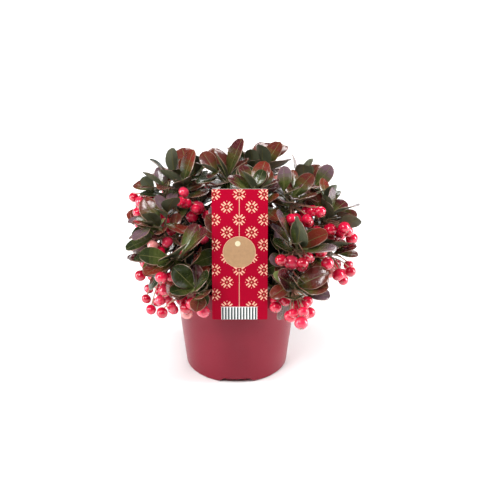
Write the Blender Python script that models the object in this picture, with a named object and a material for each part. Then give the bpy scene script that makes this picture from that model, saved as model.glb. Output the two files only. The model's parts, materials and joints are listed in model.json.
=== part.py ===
"""A wintergreen shrub in red berry, in the 12 cm plastic pot it is sold in, with a printed card clipped to the rim.

Metres, +Z up. The origin is the centre of the pot's flat underside, and the card faces -Y. A bearing is an
angle in degrees about +Z: 0 points to +X, 90 to the back and 270 to the front. Each stem rises from the mix or
from the short main stem, and ends where its mass of foliage begins. One seeded rule grows every mass.
"""

import math
import random
from typing import NamedTuple

import bmesh
import bpy
from mathutils import Matrix, Vector
from mathutils.bvhtree import BVHTree

UP = Vector((0, 0, 1))
CLEAR = 0.0003
GOLDEN_ANGLE = 137.5

# Pot
POT_HEIGHT = 0.096
RIM_RADIUS = 0.060
COLLAR_HEIGHT = 0.016
COLLAR_FOOT_RADIUS = 0.0592
BODY_TOP_RADIUS = 0.0553
BASE_RADIUS = 0.0463
POT_WALL = 0.0014
LIP = 0.0024
FOOT_ROUNDING = 0.0025
FLOOR_HEIGHT = 0.0064
POT_SIDES = 36
NOTCH_HEIGHT = 0.0048
NOTCH_TOP_WIDTH = 0.023
NOTCH_FOOT_WIDTH = 0.035
NOTCH_DEPTH = 0.013
NOTCH_BEARINGS = (270, 30, 150)

# Potting mix and the short main stem
SOIL_TOP = 0.086
MAIN_STEM_HEIGHT = 0.017
MAIN_STEM_RADIUS = 0.0062
MAIN_STEM_FLARE = 0.0095
MAIN_STEM_HEAD = 0.0072

# Card label and the clip that holds it on the rim
CARD_WIDTH = 0.0483
CARD_HEIGHT = 0.1183
CARD_THICKNESS = 0.0006
CARD_CORNER = 0.0012
CARD_TILT = 10
CARD_FOOT = Vector((0.003, -0.0668, 0.0785))
CLIP_WIDTH = 0.014
CLIP_THICKNESS = 0.0008
CLIP_TOP = 0.113
CLIP_BEND = 0.1005
CLIP_TAIL = 0.0885
CLIP_INSIDE = -(RIM_RADIUS - LIP - 0.0012)
ROOM_BEFORE_CARD = 0.030

# Stems. Those that reach less far leave the main stem's head, and the others rise from the mix round it
STEM_FOOT_RADIUS = 0.0017
STEM_TIP_RADIUS = 0.0011
STEM_SIDES = 5
STEM_STEPS = 6
STEM_RISE = 0.45
STEM_APPROACH = 0.35
FAN_CENTRE = Vector((0, 0, 0.075))
ENTRY = 0.026
APEX = 0.010
HEAD_STEM_REACH = 0.052
HEAD_STEM_SPREAD = 76
HIGH_HEART = 0.18
LOW_HEART = 0.09
HIGH_FOOT_SHARE = 0.26
LOW_FOOT_SHARE = 0.52

# The room of each mass
MASS_REACH = 0.058
SPACE_SHARE = 1.30
LOWEST_FOLIAGE = 0.030
ROOM_OVER_MIX = 0.003
GAP = 0.0006

# Twigs, leaves and fruit
TWIG_RADIUS = 0.0012
TWIG_END_RADIUS = 0.0009
TWIG_BEND = 0.0015
TWIG_PLACES = (0.40, 0.62)
TWIG_TURN = 170
TWIG_SPREAD = 50
TWIG_LENGTH = 0.018
TWIG_TRIES = 12
TWIG_TURN_PER_TRY = 31
TWIG_CUT_PER_TRY = 0.04
TWIG_ROOM = 0.0012
AXIS_LEAVES = (0.99, 0.97, 0.90, 0.82, 0.73, 0.63, 0.52, 0.41, 0.30)
SIDE_LEAVES = (0.98, 0.94, 0.72, 0.45)
AXIS_LEAF_SPREAD = (24, 86)
SIDE_LEAF_SPREAD = (22, 80)
SIDE_LEAF_SHARE = 0.88
LEAF_OUTWARD = 0.12
LEAF_VARIATION = 0.14
LEAF_SHORTENING = 0.28
BLADE_START = 0.22
LEAF_WIDTH_RATIO = 0.60
LEAF_THICKNESS = 0.0008
LEAF_KEEL = 0.30
LEAF_SHOULDER = 0.32
LEAF_BELLY = 0.68
LEAF_SHOULDER_WIDTH = 0.72
LEAF_FOLD = 14
LEAF_DROOP = 0.10
LEAF_TRIES = 20
FRUIT_RADIUS = 0.0058
FRUIT_VARIATION = 0.16
PEDICEL_RADIUS = 0.0006
FRUIT_REACH = 0.010
FRUIT_PITCH = 0.0085
FRUIT_DROP = 0.007
FRUIT_STAGGER = 0.006
FRUIT_LOOSENESS = 0.002
FRUIT_ROOTS = (0.35, 0.75)
FRUIT_LIGHT = 0.022
FRUIT_LOOSENING = 3
FRUIT_TRIES = 40


class Sprig(NamedTuple):
    """One stem with its mass of foliage. The heart is the middle of its whorl of leaves."""

    name: str
    bearing: float
    reach: float
    height: float
    leaf: float
    fruits: int
    fruit_side: float


SPRIGS = (
    Sprig("summit", 130, 0.012, 0.171, 0.033, 2, 290),
    Sprig("summit_right", 52, 0.036, 0.168, 0.031, 1, 300),
    Sprig("front_high", 308, 0.026, 0.170, 0.029, 1, 250),
    Sprig("left_inner", 168, 0.046, 0.162, 0.031, 5, 252),
    Sprig("right_inner", 343, 0.048, 0.162, 0.030, 3, 330),
    Sprig("front_middle", 270, 0.034, 0.146, 0.029, 1, 270),
    Sprig("left_high", 168, 0.063, 0.160, 0.025, 4, 205),
    Sprig("right_high", 357, 0.076, 0.142, 0.030, 6, 322),
    Sprig("back_right_high", 28, 0.064, 0.150, 0.031, 2, 20),
    Sprig("back_left_high", 129, 0.060, 0.150, 0.032, 3, 110),
    Sprig("back_high", 82, 0.060, 0.146, 0.032, 2, 90),
    Sprig("left_middle", 199, 0.066, 0.140, 0.030, 5, 305),
    Sprig("front_left", 224, 0.066, 0.125, 0.043, 1, 250),
    Sprig("front_right", 316, 0.067, 0.134, 0.037, 3, 290),
    Sprig("right_low", 345, 0.075, 0.118, 0.032, 4, 325),
    Sprig("left_low", 190, 0.066, 0.106, 0.026, 6, 202),
    Sprig("front_left_low", 242, 0.070, 0.106, 0.031, 4, 225),
    Sprig("front_right_low", 308, 0.076, 0.106, 0.038, 6, 256),
    Sprig("left_back_low", 160, 0.072, 0.118, 0.031, 2, 160),
    Sprig("back_left_low", 125, 0.076, 0.112, 0.034, 2, 130),
    Sprig("back_low", 92, 0.076, 0.112, 0.034, 3, 90),
    Sprig("back_right_low", 56, 0.077, 0.112, 0.034, 2, 50),
    Sprig("right_back_low", 20, 0.074, 0.110, 0.031, 2, 20),
)

DARK_LEAF = (0.045, 0.060, 0.035)
BARK = (0.16, 0.075, 0.05)
POT_RED = (0.30, 0.050, 0.062)
PEAT = (0.035, 0.022, 0.015)
CARD_RED = (0.61, 0.001, 0.025)
CLIP_CLEAR = (0.75, 0.75, 0.76)


# Directions and curves


def from_bearing(bearing, reach=1.0, height=0.0):
    angle = math.radians(bearing)
    return Vector((reach * math.cos(angle), reach * math.sin(angle), height))


def square_to(direction, wanted):
    """The unit vector nearest to wanted that is square to direction."""
    side = wanted - direction * wanted.dot(direction)
    if side.length < 1e-4:
        side = direction.orthogonal()
    return side.normalized()


def turned_from(axis, spread, angle):
    """A direction spread degrees off the axis, turned by angle degrees about it. Angle 0 is its upper side."""
    upper = square_to(axis, UP if abs(axis.z) < 0.98 else Vector((0, -1, 0)))
    around = Matrix.Rotation(math.radians(angle), 3, axis) @ upper
    return (axis * math.cos(math.radians(spread)) + around * math.sin(math.radians(spread))).normalized()


def bezier(p0, p1, p2, p3, steps):
    points = []
    for i in range(steps + 1):
        t = i / steps
        s = 1 - t
        points.append(p0 * s**3 + p1 * (3 * s * s * t) + p2 * (3 * s * t * t) + p3 * t**3)
    return points


def along(points, fraction):
    """The place and direction at this fraction of a line of points."""
    place = min(fraction, 0.9999) * (len(points) - 1)
    i = int(place)
    step = points[i + 1] - points[i]
    return points[i] + step * (place - i), step.normalized()


# Solids as plain vertices and faces


def tube(points, radii, sides, grow=0.0, ends=None):
    """A closed tube along the points. Its flat ends are square to the directions in ends, or else to its line."""
    verts, faces = [], []
    across = None
    last = len(points) - 1
    for i, point in enumerate(points):
        ahead = (points[min(i + 1, last)] - points[max(i - 1, 0)]).normalized()
        if ends and i in (0, last):
            ahead = ends[i == last]
        across = square_to(ahead, across if across is not None else Vector((0.3, -1, 0.2)))
        other = ahead.cross(across)
        for k in range(sides):
            angle = math.tau * k / sides
            verts.append(point + (across * math.cos(angle) + other * math.sin(angle)) * (radii[i] + grow))
    for i in range(last):
        for k in range(sides):
            a, b = i * sides + k, i * sides + (k + 1) % sides
            faces.append((a, b, b + sides, a + sides))
    faces.append(tuple(reversed(range(sides))))
    faces.append(tuple(last * sides + k for k in range(sides)))
    return verts, faces


def leaf_frame(root, direction, facing):
    """Y runs along the leaf and Z out of its upper face."""
    upper = square_to(direction, facing)
    frame = Matrix((direction.cross(upper), direction, upper)).transposed().to_4x4()
    return Matrix.Translation(root) @ frame


def leaf_outline(length, grow=0.0):
    """The leaf's right edge from its foot to its tip, as (across, along), longest beyond its middle."""
    half = length * LEAF_WIDTH_RATIO / 2
    return (
        (half * LEAF_SHOULDER_WIDTH + grow, length * LEAF_SHOULDER),
        (half + grow, length * LEAF_BELLY),
    )


def leaf_height(across, along_leaf, length, fold):
    """How high the blade lies: its halves fold up from the midrib, and it droops to its tip."""
    return abs(across) * math.tan(math.radians(fold)) - LEAF_DROOP * length * (along_leaf / length) ** 2


def leaf_solid(leaf):
    """A blade that is thickest at its keel, thins to its edge, and starts at a point inside its twig."""
    length, fold = leaf.length, leaf.fold
    edge = leaf_outline(length)
    rim = [(0, 0), *edge, (0, length), *((-across, reach) for across, reach in reversed(edge))]
    verts = [Vector((across, reach, leaf_height(across, reach, length, fold))) for across, reach in rim]
    keel = length * LEAF_KEEL
    for side in (1, -1):
        verts.append(Vector((0, keel, leaf_height(0, keel, length, fold) + side * LEAF_THICKNESS / 2)))
    count = len(rim)
    faces = [(i, (i + 1) % count, count) for i in range(count)]
    faces += [((i + 1) % count, i, count + 1) for i in range(count)]
    return [leaf.frame @ v for v in verts], faces


def leaf_guard(leaf, start=0.0, grow=GAP):
    """A plate round the leaf, wider and thicker by a gap. A start over 0 leaves out the foot of the blade."""
    length = leaf.length
    (low_across, low), (high_across, high) = leaf_outline(length, grow)
    foot = start * length
    foot_across = max(grow, low_across * min(1.0, foot / low))
    line = [(foot_across, foot)]
    if foot < low:
        line.append((low_across, low))
    line += [(high_across, high), (grow, length + grow)]
    outline = line + [(-across, reach) for across, reach in reversed(line)]
    thick = LEAF_THICKNESS / 2 + grow
    count = len(outline)
    verts = []
    for lift in (thick, -thick):
        for across, reach in outline:
            height = leaf_height(across, reach, length, leaf.fold)
            verts.append(leaf.frame @ Vector((across, reach, height + lift)))
    faces = [tuple(range(count)), tuple(reversed(range(count, 2 * count)))]
    faces += [(i, (i + 1) % count, (i + 1) % count + count, i + count) for i in range(count)]
    return verts, faces


def ball_solid(centre, radius):
    """A fruit as an icosahedron."""
    bm = bmesh.new()
    bmesh.ops.create_icosphere(bm, subdivisions=1, radius=radius)
    verts = [v.co + centre for v in bm.verts]
    faces = [tuple(v.index for v in f.verts) for f in bm.faces]
    bm.free()
    return verts, faces


# Growth


class Twig(NamedTuple):
    points: list
    radii: list


class Leaf(NamedTuple):
    frame: Matrix
    length: float
    fold: float


class Fruit(NamedTuple):
    pedicel: list
    centre: Vector
    radius: float


class Mass:
    """A sprig's own growth: its twigs, leaves and fruit."""

    def __init__(self, sprig):
        self.name = sprig.name
        self.sprig = sprig
        self.rng = random.Random(sprig.name)
        self.heart = from_bearing(sprig.bearing, sprig.reach, sprig.height)
        self.axis = (self.heart - FAN_CENTRE).normalized()
        self.entry = self.heart - self.axis * ENTRY
        self.others = []
        self.limb = []
        self.limb_ends = ()
        self.twigs = []
        self.leaves = []
        self.fruits = []

    def jitter(self, size):
        return self.rng.uniform(-size, size)


class Space:
    """Everything that is already placed, so that what grows next keeps clear of it."""

    def __init__(self):
        self.items = []

    def add(self, owner, kind, solid):
        verts, faces = solid
        centre = sum(verts, Vector()) / len(verts)
        radius = max((v - centre).length for v in verts)
        self.items.append((owner, kind, centre, radius, BVHTree.FromPolygons(verts, faces)))

    def blocked(self, solid, owner, own_kinds=()):
        """Whether the solid meets anything of another owner, or of its own owner's own_kinds."""
        verts, faces = solid
        tree = BVHTree.FromPolygons(verts, faces)
        centre = sum(verts, Vector()) / len(verts)
        radius = max((v - centre).length for v in verts)
        for item_owner, kind, item_centre, item_radius, item_tree in self.items:
            if item_owner == owner and kind not in own_kinds:
                continue
            if (centre - item_centre).length < radius + item_radius and tree.overlap(item_tree):
                return True
        return False


def stem_foot(sprig):
    """Where the stem leaves the main stem's head or the mix, and which way it sets out."""
    if sprig.reach < HEAD_STEM_REACH:
        head = Vector((0, 0, SOIL_TOP + CLEAR + MAIN_STEM_HEIGHT - MAIN_STEM_HEAD))
        lean = math.radians(HEAD_STEM_SPREAD * sprig.reach / HEAD_STEM_REACH)
        out = UP * math.cos(lean) + from_bearing(sprig.bearing) * math.sin(lean)
        return head + out * (MAIN_STEM_HEAD + CLEAR), out
    lowness = (HIGH_HEART - sprig.height) / (HIGH_HEART - LOW_HEART)
    share = HIGH_FOOT_SHARE + (LOW_FOOT_SHARE - HIGH_FOOT_SHARE) * lowness
    return from_bearing(sprig.bearing, sprig.reach * share, SOIL_TOP + CLEAR), UP


def grow_limb(mass):
    foot, out = stem_foot(mass.sprig)
    span = (mass.entry - foot).length
    rise = foot + out * span * STEM_RISE
    approach = mass.entry - mass.axis * span * STEM_APPROACH
    mass.limb = bezier(foot, rise, approach, mass.entry, STEM_STEPS)
    mass.limb_ends = (out, mass.axis)


def limb_solid(mass, grow=0.0):
    taper = STEM_FOOT_RADIUS - STEM_TIP_RADIUS
    radii = [STEM_TIP_RADIUS + taper * (1 - i / STEM_STEPS) ** 1.5 for i in range(STEM_STEPS + 1)]
    return tube(mass.limb, radii, STEM_SIDES, grow, mass.limb_ends)


def axis_solid(mass):
    twig = mass.twigs[0]
    return tube(twig.points, twig.radii, 3, 0.0, (mass.axis, mass.axis))


def grow_twigs(mass, space):
    """The mass's own stem goes on from its limb's tip, and side twigs spread from it."""
    rng = mass.rng
    start = mass.entry + mass.axis * CLEAR
    apex = mass.heart + mass.axis * APEX
    bend = square_to(mass.axis, UP) * TWIG_BEND
    axis = [start, mass.heart - bend, apex + bend]
    radii = [TWIG_RADIUS, (TWIG_RADIUS + TWIG_END_RADIUS) / 2, TWIG_END_RADIUS]
    mass.twigs.append(Twig(axis, radii))
    space.add(mass.name, "twig", axis_solid(mass))
    turn = rng.uniform(0, 360)
    for number, place in enumerate(TWIG_PLACES):
        for attempt in range(TWIG_TRIES):
            root, ahead = along(axis, place)
            angle = turn + number * TWIG_TURN + attempt * TWIG_TURN_PER_TRY
            out = turned_from(ahead, TWIG_SPREAD + mass.jitter(8), angle)
            length = TWIG_LENGTH * (1 + mass.jitter(0.15)) * (1 - TWIG_CUT_PER_TRY * attempt)
            lifted = (out + UP * 0.15 + ahead * 0.2).normalized()
            points = [root, root + lifted * length]
            side_radii = [TWIG_END_RADIUS, TWIG_END_RADIUS * 0.85]
            guard = tube([root.lerp(points[1], 0.3), points[1]], side_radii, 3, TWIG_ROOM)
            if keeps_space(mass, guard[0]) and not space.blocked(guard, mass.name, ("twig",)):
                mass.twigs.append(Twig(points, side_radii))
                space.add(mass.name, "twig", tube(points, side_radii, 3))
                break


def keeps_space(mass, points):
    """Whether the points stay nearer to the mass's own heart than to another's, and out of the mix."""
    for point in points:
        own = (point - mass.heart).length
        if own > MASS_REACH or point.z < LOWEST_FOLIAGE:
            return False
        if math.hypot(point.x, point.y) < RIM_RADIUS and point.z < SOIL_TOP + ROOM_OVER_MIX:
            return False
        for other in mass.others:
            if own > SPACE_SHARE * (point - other).length:
                return False
    return True


def grow_fruits(mass, space):
    """Fruits hang in a loose cluster on the mass's fruit side, each from an arching stalk, with open air before it."""
    sprig, rng = mass.sprig, mass.rng
    outward, across = from_bearing(sprig.fruit_side), from_bearing(sprig.fruit_side + 90)
    for number in range(sprig.fruits):
        place = number - (sprig.fruits - 1) / 2
        for attempt in range(FRUIT_TRIES):
            loose = FRUIT_LOOSENESS * (1 + FRUIT_LOOSENING * attempt / FRUIT_TRIES)
            root, _ = along(mass.twigs[0].points, rng.uniform(*FRUIT_ROOTS))
            radius = FRUIT_RADIUS * (1 + mass.jitter(FRUIT_VARIATION))
            drop = FRUIT_DROP + FRUIT_STAGGER * (number % 2) + mass.jitter(loose)
            centre = root + outward * (FRUIT_REACH + mass.jitter(loose)) - UP * drop
            centre += across * (place * FRUIT_PITCH + mass.jitter(loose))
            crown = centre + (UP + (root - centre).normalized() * 0.5).normalized() * radius * 0.85
            bow = Vector((centre.x - root.x, centre.y - root.y, 0)) * 0.65 + UP * 0.001
            pedicel = [root, root.lerp(crown, 0.3) + bow * 0.5, crown]
            guard = ball_solid(centre, radius + GAP)
            stalk = tube(pedicel[1:], [PEDICEL_RADIUS] * 2, 3, GAP / 2)
            if not keeps_space(mass, guard[0]) or space.blocked(guard, mass.name, ("twig", "fruit", "stalk")):
                continue
            if space.blocked(stalk, mass.name, ("fruit",)):
                continue
            mass.fruits.append(Fruit(pedicel, centre, radius))
            space.add(mass.name, "fruit", ball_solid(centre, radius))
            space.add(mass.name, "stalk", tube(pedicel, [PEDICEL_RADIUS] * 3, 3))
            open_way = [centre, centre + (outward + UP * 0.5) * FRUIT_LIGHT]
            space.add(mass.name, "light", tube(open_way, [radius * 0.8] * 2, 4))
            break


def leaf_spread(fraction, spreads):
    """How far a leaf leans out from its twig: least at the tip, and most from the twig's middle down."""
    least, most = spreads
    return least + (most - least) * min(1.0, (1 - fraction) / 0.5)


def leaf_slots(mass):
    """Each leaf's twig, place along it, bearing about it and spread from it, the furthest leaves first."""
    slots = []
    turn = mass.rng.uniform(0, 360)
    for number, fraction in enumerate(AXIS_LEAVES):
        spread = leaf_spread(fraction, AXIS_LEAF_SPREAD)
        slots.append((0, fraction, turn + GOLDEN_ANGLE * number, spread, 1.0 - 0.1 * (number > 5)))
    for twig in range(1, len(mass.twigs)):
        turn = mass.rng.uniform(0, 360)
        for number, fraction in enumerate(SIDE_LEAVES):
            spread = leaf_spread(fraction, SIDE_LEAF_SPREAD)
            slots.append((twig, fraction, turn + GOLDEN_ANGLE * number, spread, SIDE_LEAF_SHARE))
    return sorted(slots, key=lambda slot: -slot[1])


def grow_leaf(mass, slot, space):
    """Tries the slot's leaf, turned, tilted and shortened a little more each time, until it fits."""
    twig, fraction, angle, spread, share = slot
    root, ahead = along(mass.twigs[twig].points, fraction)
    for attempt in range(LEAF_TRIES):
        loose = attempt / LEAF_TRIES
        tilt = spread + mass.jitter(8 + 26 * loose)
        direction = turned_from(ahead, tilt, angle + mass.jitter(10 + 90 * loose))
        direction = (direction + from_bearing(mass.sprig.bearing) * LEAF_OUTWARD).normalized()
        length = mass.sprig.leaf * share * (1 + mass.jitter(LEAF_VARIATION)) * (1 - LEAF_SHORTENING * loose)
        facing = (UP * 0.7 + ahead + mass.axis * 0.5 + Vector((mass.jitter(0.35), mass.jitter(0.35), 0))).normalized()
        leaf = Leaf(leaf_frame(root - direction * 0.0002, direction, facing), length, LEAF_FOLD + mass.jitter(8))
        guard = leaf_guard(leaf)
        if not keeps_space(mass, guard[0]) or space.blocked(guard, mass.name):
            continue
        blade = leaf_guard(leaf, BLADE_START, 0.0002)
        if space.blocked(blade, mass.name, ("twig", "fruit", "stalk", "blade", "light")):
            continue
        mass.leaves.append(leaf)
        space.add(mass.name, "leaf", leaf_solid(leaf))
        space.add(mass.name, "blade", leaf_guard(leaf, BLADE_START, 0.0001))
        return


def grow_plant(obstacles):
    """Grows every mass in turn, one leaf each, so that no mass takes its neighbours' room."""
    space = Space()
    for solid in obstacles:
        space.add("", "made", solid)
    masses = [Mass(sprig) for sprig in SPRIGS]
    for mass in masses:
        mass.others = [other.heart for other in masses if other is not mass]
        grow_limb(mass)
        space.add(mass.name, "limb", limb_solid(mass, 0.0005))
    for mass in masses:
        grow_twigs(mass, space)
    for mass in masses:
        grow_fruits(mass, space)
    slots = {mass.name: leaf_slots(mass) for mass in masses}
    for number in range(max(map(len, slots.values()))):
        for mass in masses:
            if number < len(slots[mass.name]):
                grow_leaf(mass, slots[mass.name][number], space)
    return masses


# Objects


def clear_scene():
    for obj in list(bpy.data.objects):
        bpy.data.objects.remove(obj, do_unlink=True)


def surface(name, colour, roughness, metallic=0.0):
    material = bpy.data.materials.new(name)
    material.use_nodes = True
    shader = material.node_tree.nodes["Principled BSDF"]
    shader.inputs["Base Color"].default_value = (*colour, 1)
    shader.inputs["Roughness"].default_value = roughness
    shader.inputs["Metallic"].default_value = metallic
    return material


def add_object(name, bm, material, smooth=None):
    bmesh.ops.recalc_face_normals(bm, faces=bm.faces)
    mesh = bpy.data.meshes.new(name)
    bm.to_mesh(mesh)
    bm.free()
    if smooth is not None:
        mesh.shade_smooth()
        mesh.set_sharp_from_angle(angle=math.radians(smooth))
    mesh.materials.append(material)
    obj = bpy.data.objects.new(name, mesh)
    bpy.context.scene.collection.objects.link(obj)
    return obj


def bmesh_from(solid):
    verts, faces = solid
    bm = bmesh.new()
    placed = [bm.verts.new(v) for v in verts]
    for face in faces:
        bm.faces.new([placed[i] for i in face])
    return bm


def turned(profile, sides):
    """The solid that a line of (radius, height) sweeps about the Z axis. Its ends lie on the axis."""
    bm = bmesh.new()
    line = [bm.verts.new((radius, 0, height)) for radius, height in profile]
    edges = [bm.edges.new(pair) for pair in zip(line, line[1:])]
    bmesh.ops.spin(
        bm, geom=line + edges, cent=(0, 0, 0), axis=(0, 0, 1), angle=math.tau, steps=sides, use_merge=True
    )
    bmesh.ops.remove_doubles(bm, verts=bm.verts, dist=1e-6)
    return bm


def pot_inner_radius(height):
    """The pot's inner radius below its collar."""
    outer = BASE_RADIUS + (BODY_TOP_RADIUS - BASE_RADIUS) * height / (POT_HEIGHT - COLLAR_HEIGHT)
    return outer - POT_WALL


def pot_profile():
    collar_foot = POT_HEIGHT - COLLAR_HEIGHT
    ledge = collar_foot + POT_WALL
    rounding = [
        (
            BASE_RADIUS - FOOT_ROUNDING * (1 - math.sin(angle)),
            FOOT_ROUNDING * (1 - math.cos(angle)),
        )
        for angle in (math.radians(20 * i) for i in range(1, 5))
    ]
    return [
        (0, 0),
        (BASE_RADIUS - FOOT_ROUNDING, 0),
        *rounding,
        (BODY_TOP_RADIUS, collar_foot),
        (COLLAR_FOOT_RADIUS - 0.0006, collar_foot),
        (COLLAR_FOOT_RADIUS, collar_foot + 0.0006),
        (RIM_RADIUS, POT_HEIGHT - 0.0012),
        (RIM_RADIUS - 0.0006, POT_HEIGHT),
        (RIM_RADIUS - LIP + 0.0006, POT_HEIGHT),
        (RIM_RADIUS - LIP, POT_HEIGHT - 0.0012),
        (COLLAR_FOOT_RADIUS - POT_WALL, ledge),
        (pot_inner_radius(ledge), ledge),
        (pot_inner_radius(FLOOR_HEIGHT), FLOOR_HEIGHT),
        (0, FLOOR_HEIGHT),
    ]


def notch_cutter(number, bearing):
    """A wedge that cuts a drain slot into the foot of the wall."""
    inner = BASE_RADIUS - NOTCH_DEPTH
    outer = BASE_RADIUS + 0.01
    bm = bmesh.new()
    corners = []
    for reach in (inner, outer):
        for half, height in (
            (NOTCH_FOOT_WIDTH / 2 + 0.002, -0.002),
            (NOTCH_TOP_WIDTH / 2, NOTCH_HEIGHT),
            (-NOTCH_TOP_WIDTH / 2, NOTCH_HEIGHT),
            (-NOTCH_FOOT_WIDTH / 2 - 0.002, -0.002),
        ):
            corners.append(bm.verts.new((reach, half, height)))
    near, far = corners[:4], corners[4:]
    bm.faces.new(near)
    bm.faces.new(far)
    for i in range(4):
        bm.faces.new((near[i], near[(i + 1) % 4], far[(i + 1) % 4], far[i]))
    cutter = add_object(f"notch_cutter_{number}", bm, surface("cutter", POT_RED, 0.5))
    cutter.rotation_euler.z = math.radians(bearing)
    cutter.hide_render = True
    cutter.display_type = "WIRE"
    return cutter


def make_pot():
    pot = add_object("pot", turned(pot_profile(), POT_SIDES), surface("pot_plastic", POT_RED, 0.42), 35)
    for number, bearing in enumerate(NOTCH_BEARINGS, 1):
        cut = pot.modifiers.new(f"notch_{number}", "BOOLEAN")
        cut.operation = "DIFFERENCE"
        cut.solver = "EXACT"
        cut.object = notch_cutter(number, bearing)


def make_potting_mix():
    """The mix fills the pot to a centimetre below its rim, a hair clear of the wall."""
    ledge = POT_HEIGHT - COLLAR_HEIGHT + POT_WALL
    top_share = (SOIL_TOP - ledge) / COLLAR_HEIGHT
    top_radius = COLLAR_FOOT_RADIUS - POT_WALL + top_share * (RIM_RADIUS - COLLAR_FOOT_RADIUS) * 0.2
    profile = [
        (0, FLOOR_HEIGHT + CLEAR),
        (pot_inner_radius(FLOOR_HEIGHT) - CLEAR, FLOOR_HEIGHT + CLEAR),
        (pot_inner_radius(ledge) - CLEAR, ledge + CLEAR),
        (COLLAR_FOOT_RADIUS - POT_WALL - CLEAR, ledge + CLEAR),
        (top_radius - CLEAR, SOIL_TOP),
        (0, SOIL_TOP),
    ]
    add_object("potting_mix", turned(profile, POT_SIDES), surface("peat", PEAT, 0.95), 35)


def make_main_stem():
    """A short woody stock with a flared foot, a flat cut on the mix and a rounded head that stems leave."""
    foot = SOIL_TOP + CLEAR
    head = foot + MAIN_STEM_HEIGHT - MAIN_STEM_HEAD
    arc = [
        (MAIN_STEM_HEAD * math.cos(angle), head + MAIN_STEM_HEAD * math.sin(angle))
        for angle in (math.radians(22.5 * i) for i in range(-1, 4))
    ]
    profile = [
        (0, foot),
        (MAIN_STEM_FLARE, foot),
        (MAIN_STEM_FLARE * 0.8, foot + 0.0018),
        (MAIN_STEM_RADIUS, foot + 0.0045),
        *arc,
        (0, head + MAIN_STEM_HEAD),
    ]
    add_object("main_stem", turned(profile, 12), surface("bark_main", BARK, 0.8), 50)


def card_frame():
    """The card's own frame: its origin is the middle of its foot, and Z runs up the card."""
    return Matrix.Translation(CARD_FOOT) @ Matrix.Rotation(math.radians(-CARD_TILT), 4, "X")


def box_solid(low, high):
    verts = [Vector((x, y, z)) for x in (low[0], high[0]) for y in (low[1], high[1]) for z in (low[2], high[2])]
    faces = [(0, 1, 3, 2), (4, 6, 7, 5), (0, 4, 5, 1), (2, 3, 7, 6), (0, 2, 6, 4), (1, 5, 7, 3)]
    return verts, faces


def make_card():
    half = CARD_WIDTH / 2
    low = (-half, -CARD_THICKNESS / 2, 0)
    high = (half, CARD_THICKNESS / 2, CARD_HEIGHT)
    bm = bmesh_from(box_solid(low, high))
    corners = [e for e in bm.edges if abs(e.verts[0].co.y - e.verts[1].co.y) > CARD_THICKNESS / 2]
    bmesh.ops.bevel(bm, geom=corners, offset=CARD_CORNER, segments=3, profile=0.5, affect="EDGES")
    card = add_object("label_card", bm, surface("card_print", CARD_RED, 0.35))
    card.location = CARD_FOOT
    card.rotation_euler.x = math.radians(-CARD_TILT)


def card_back(height):
    """The Y of the card's back face at this height."""
    run = (height - CARD_FOOT.z) * math.tan(math.radians(CARD_TILT))
    return CARD_FOOT.y + run + CARD_THICKNESS / 2 / math.cos(math.radians(CARD_TILT))


def make_clip():
    """A strip that lies up the card's back, bends over the rim and hangs inside it."""
    seat = POT_HEIGHT + CLEAR
    gap = CLEAR / math.cos(math.radians(CARD_TILT))
    front = [
        (card_back(CLIP_TOP) + gap, CLIP_TOP),
        (card_back(CLIP_BEND) + gap, CLIP_BEND),
        (card_back(seat) + gap + 0.0006, seat),
        (CLIP_INSIDE, seat),
        (CLIP_INSIDE, CLIP_TAIL),
    ]
    back = [
        (front[0][0] + CLIP_THICKNESS, CLIP_TOP),
        (front[1][0] + CLIP_THICKNESS, CLIP_BEND),
        (front[2][0] + CLIP_THICKNESS * 1.2, seat + CLIP_THICKNESS),
        (CLIP_INSIDE + CLIP_THICKNESS, seat + CLIP_THICKNESS),
        (CLIP_INSIDE + CLIP_THICKNESS, CLIP_TAIL),
    ]
    outline = front + list(reversed(back))
    bm = bmesh.new()
    left = CARD_FOOT.x - CLIP_WIDTH / 2
    face = bm.faces.new([bm.verts.new((left, y, z)) for y, z in outline])
    swept = bmesh.ops.extrude_face_region(bm, geom=[face])["geom"]
    moved = [v for v in swept if isinstance(v, bmesh.types.BMVert)]
    bmesh.ops.translate(bm, verts=moved, vec=(CLIP_WIDTH, 0, 0))
    add_object("label_clip", bm, surface("clip_plastic", CLIP_CLEAR, 0.2))


def made_obstacles():
    """The pot, the card, the room in front of the card and the clip, which foliage keeps clear of."""
    pot = turned(pot_profile(), POT_SIDES)
    pot_solid = ([v.co.copy() for v in pot.verts], [tuple(v.index for v in f.verts) for f in pot.faces])
    pot.free()
    frame = card_frame()
    room = 0.001
    half = CARD_WIDTH / 2 + room
    verts, faces = box_solid((-half, -ROOM_BEFORE_CARD, -room), (half, room, CARD_HEIGHT + room))
    card = ([frame @ v for v in verts], faces)
    clip_low = (CARD_FOOT.x - CLIP_WIDTH / 2, card_back(CLIP_BEND) - room, CLIP_TAIL)
    clip_high = (CARD_FOOT.x + CLIP_WIDTH / 2, CLIP_INSIDE + CLIP_THICKNESS + room, CLIP_TOP + room)
    return [pot_solid, card, box_solid(clip_low, clip_high)]


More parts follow.
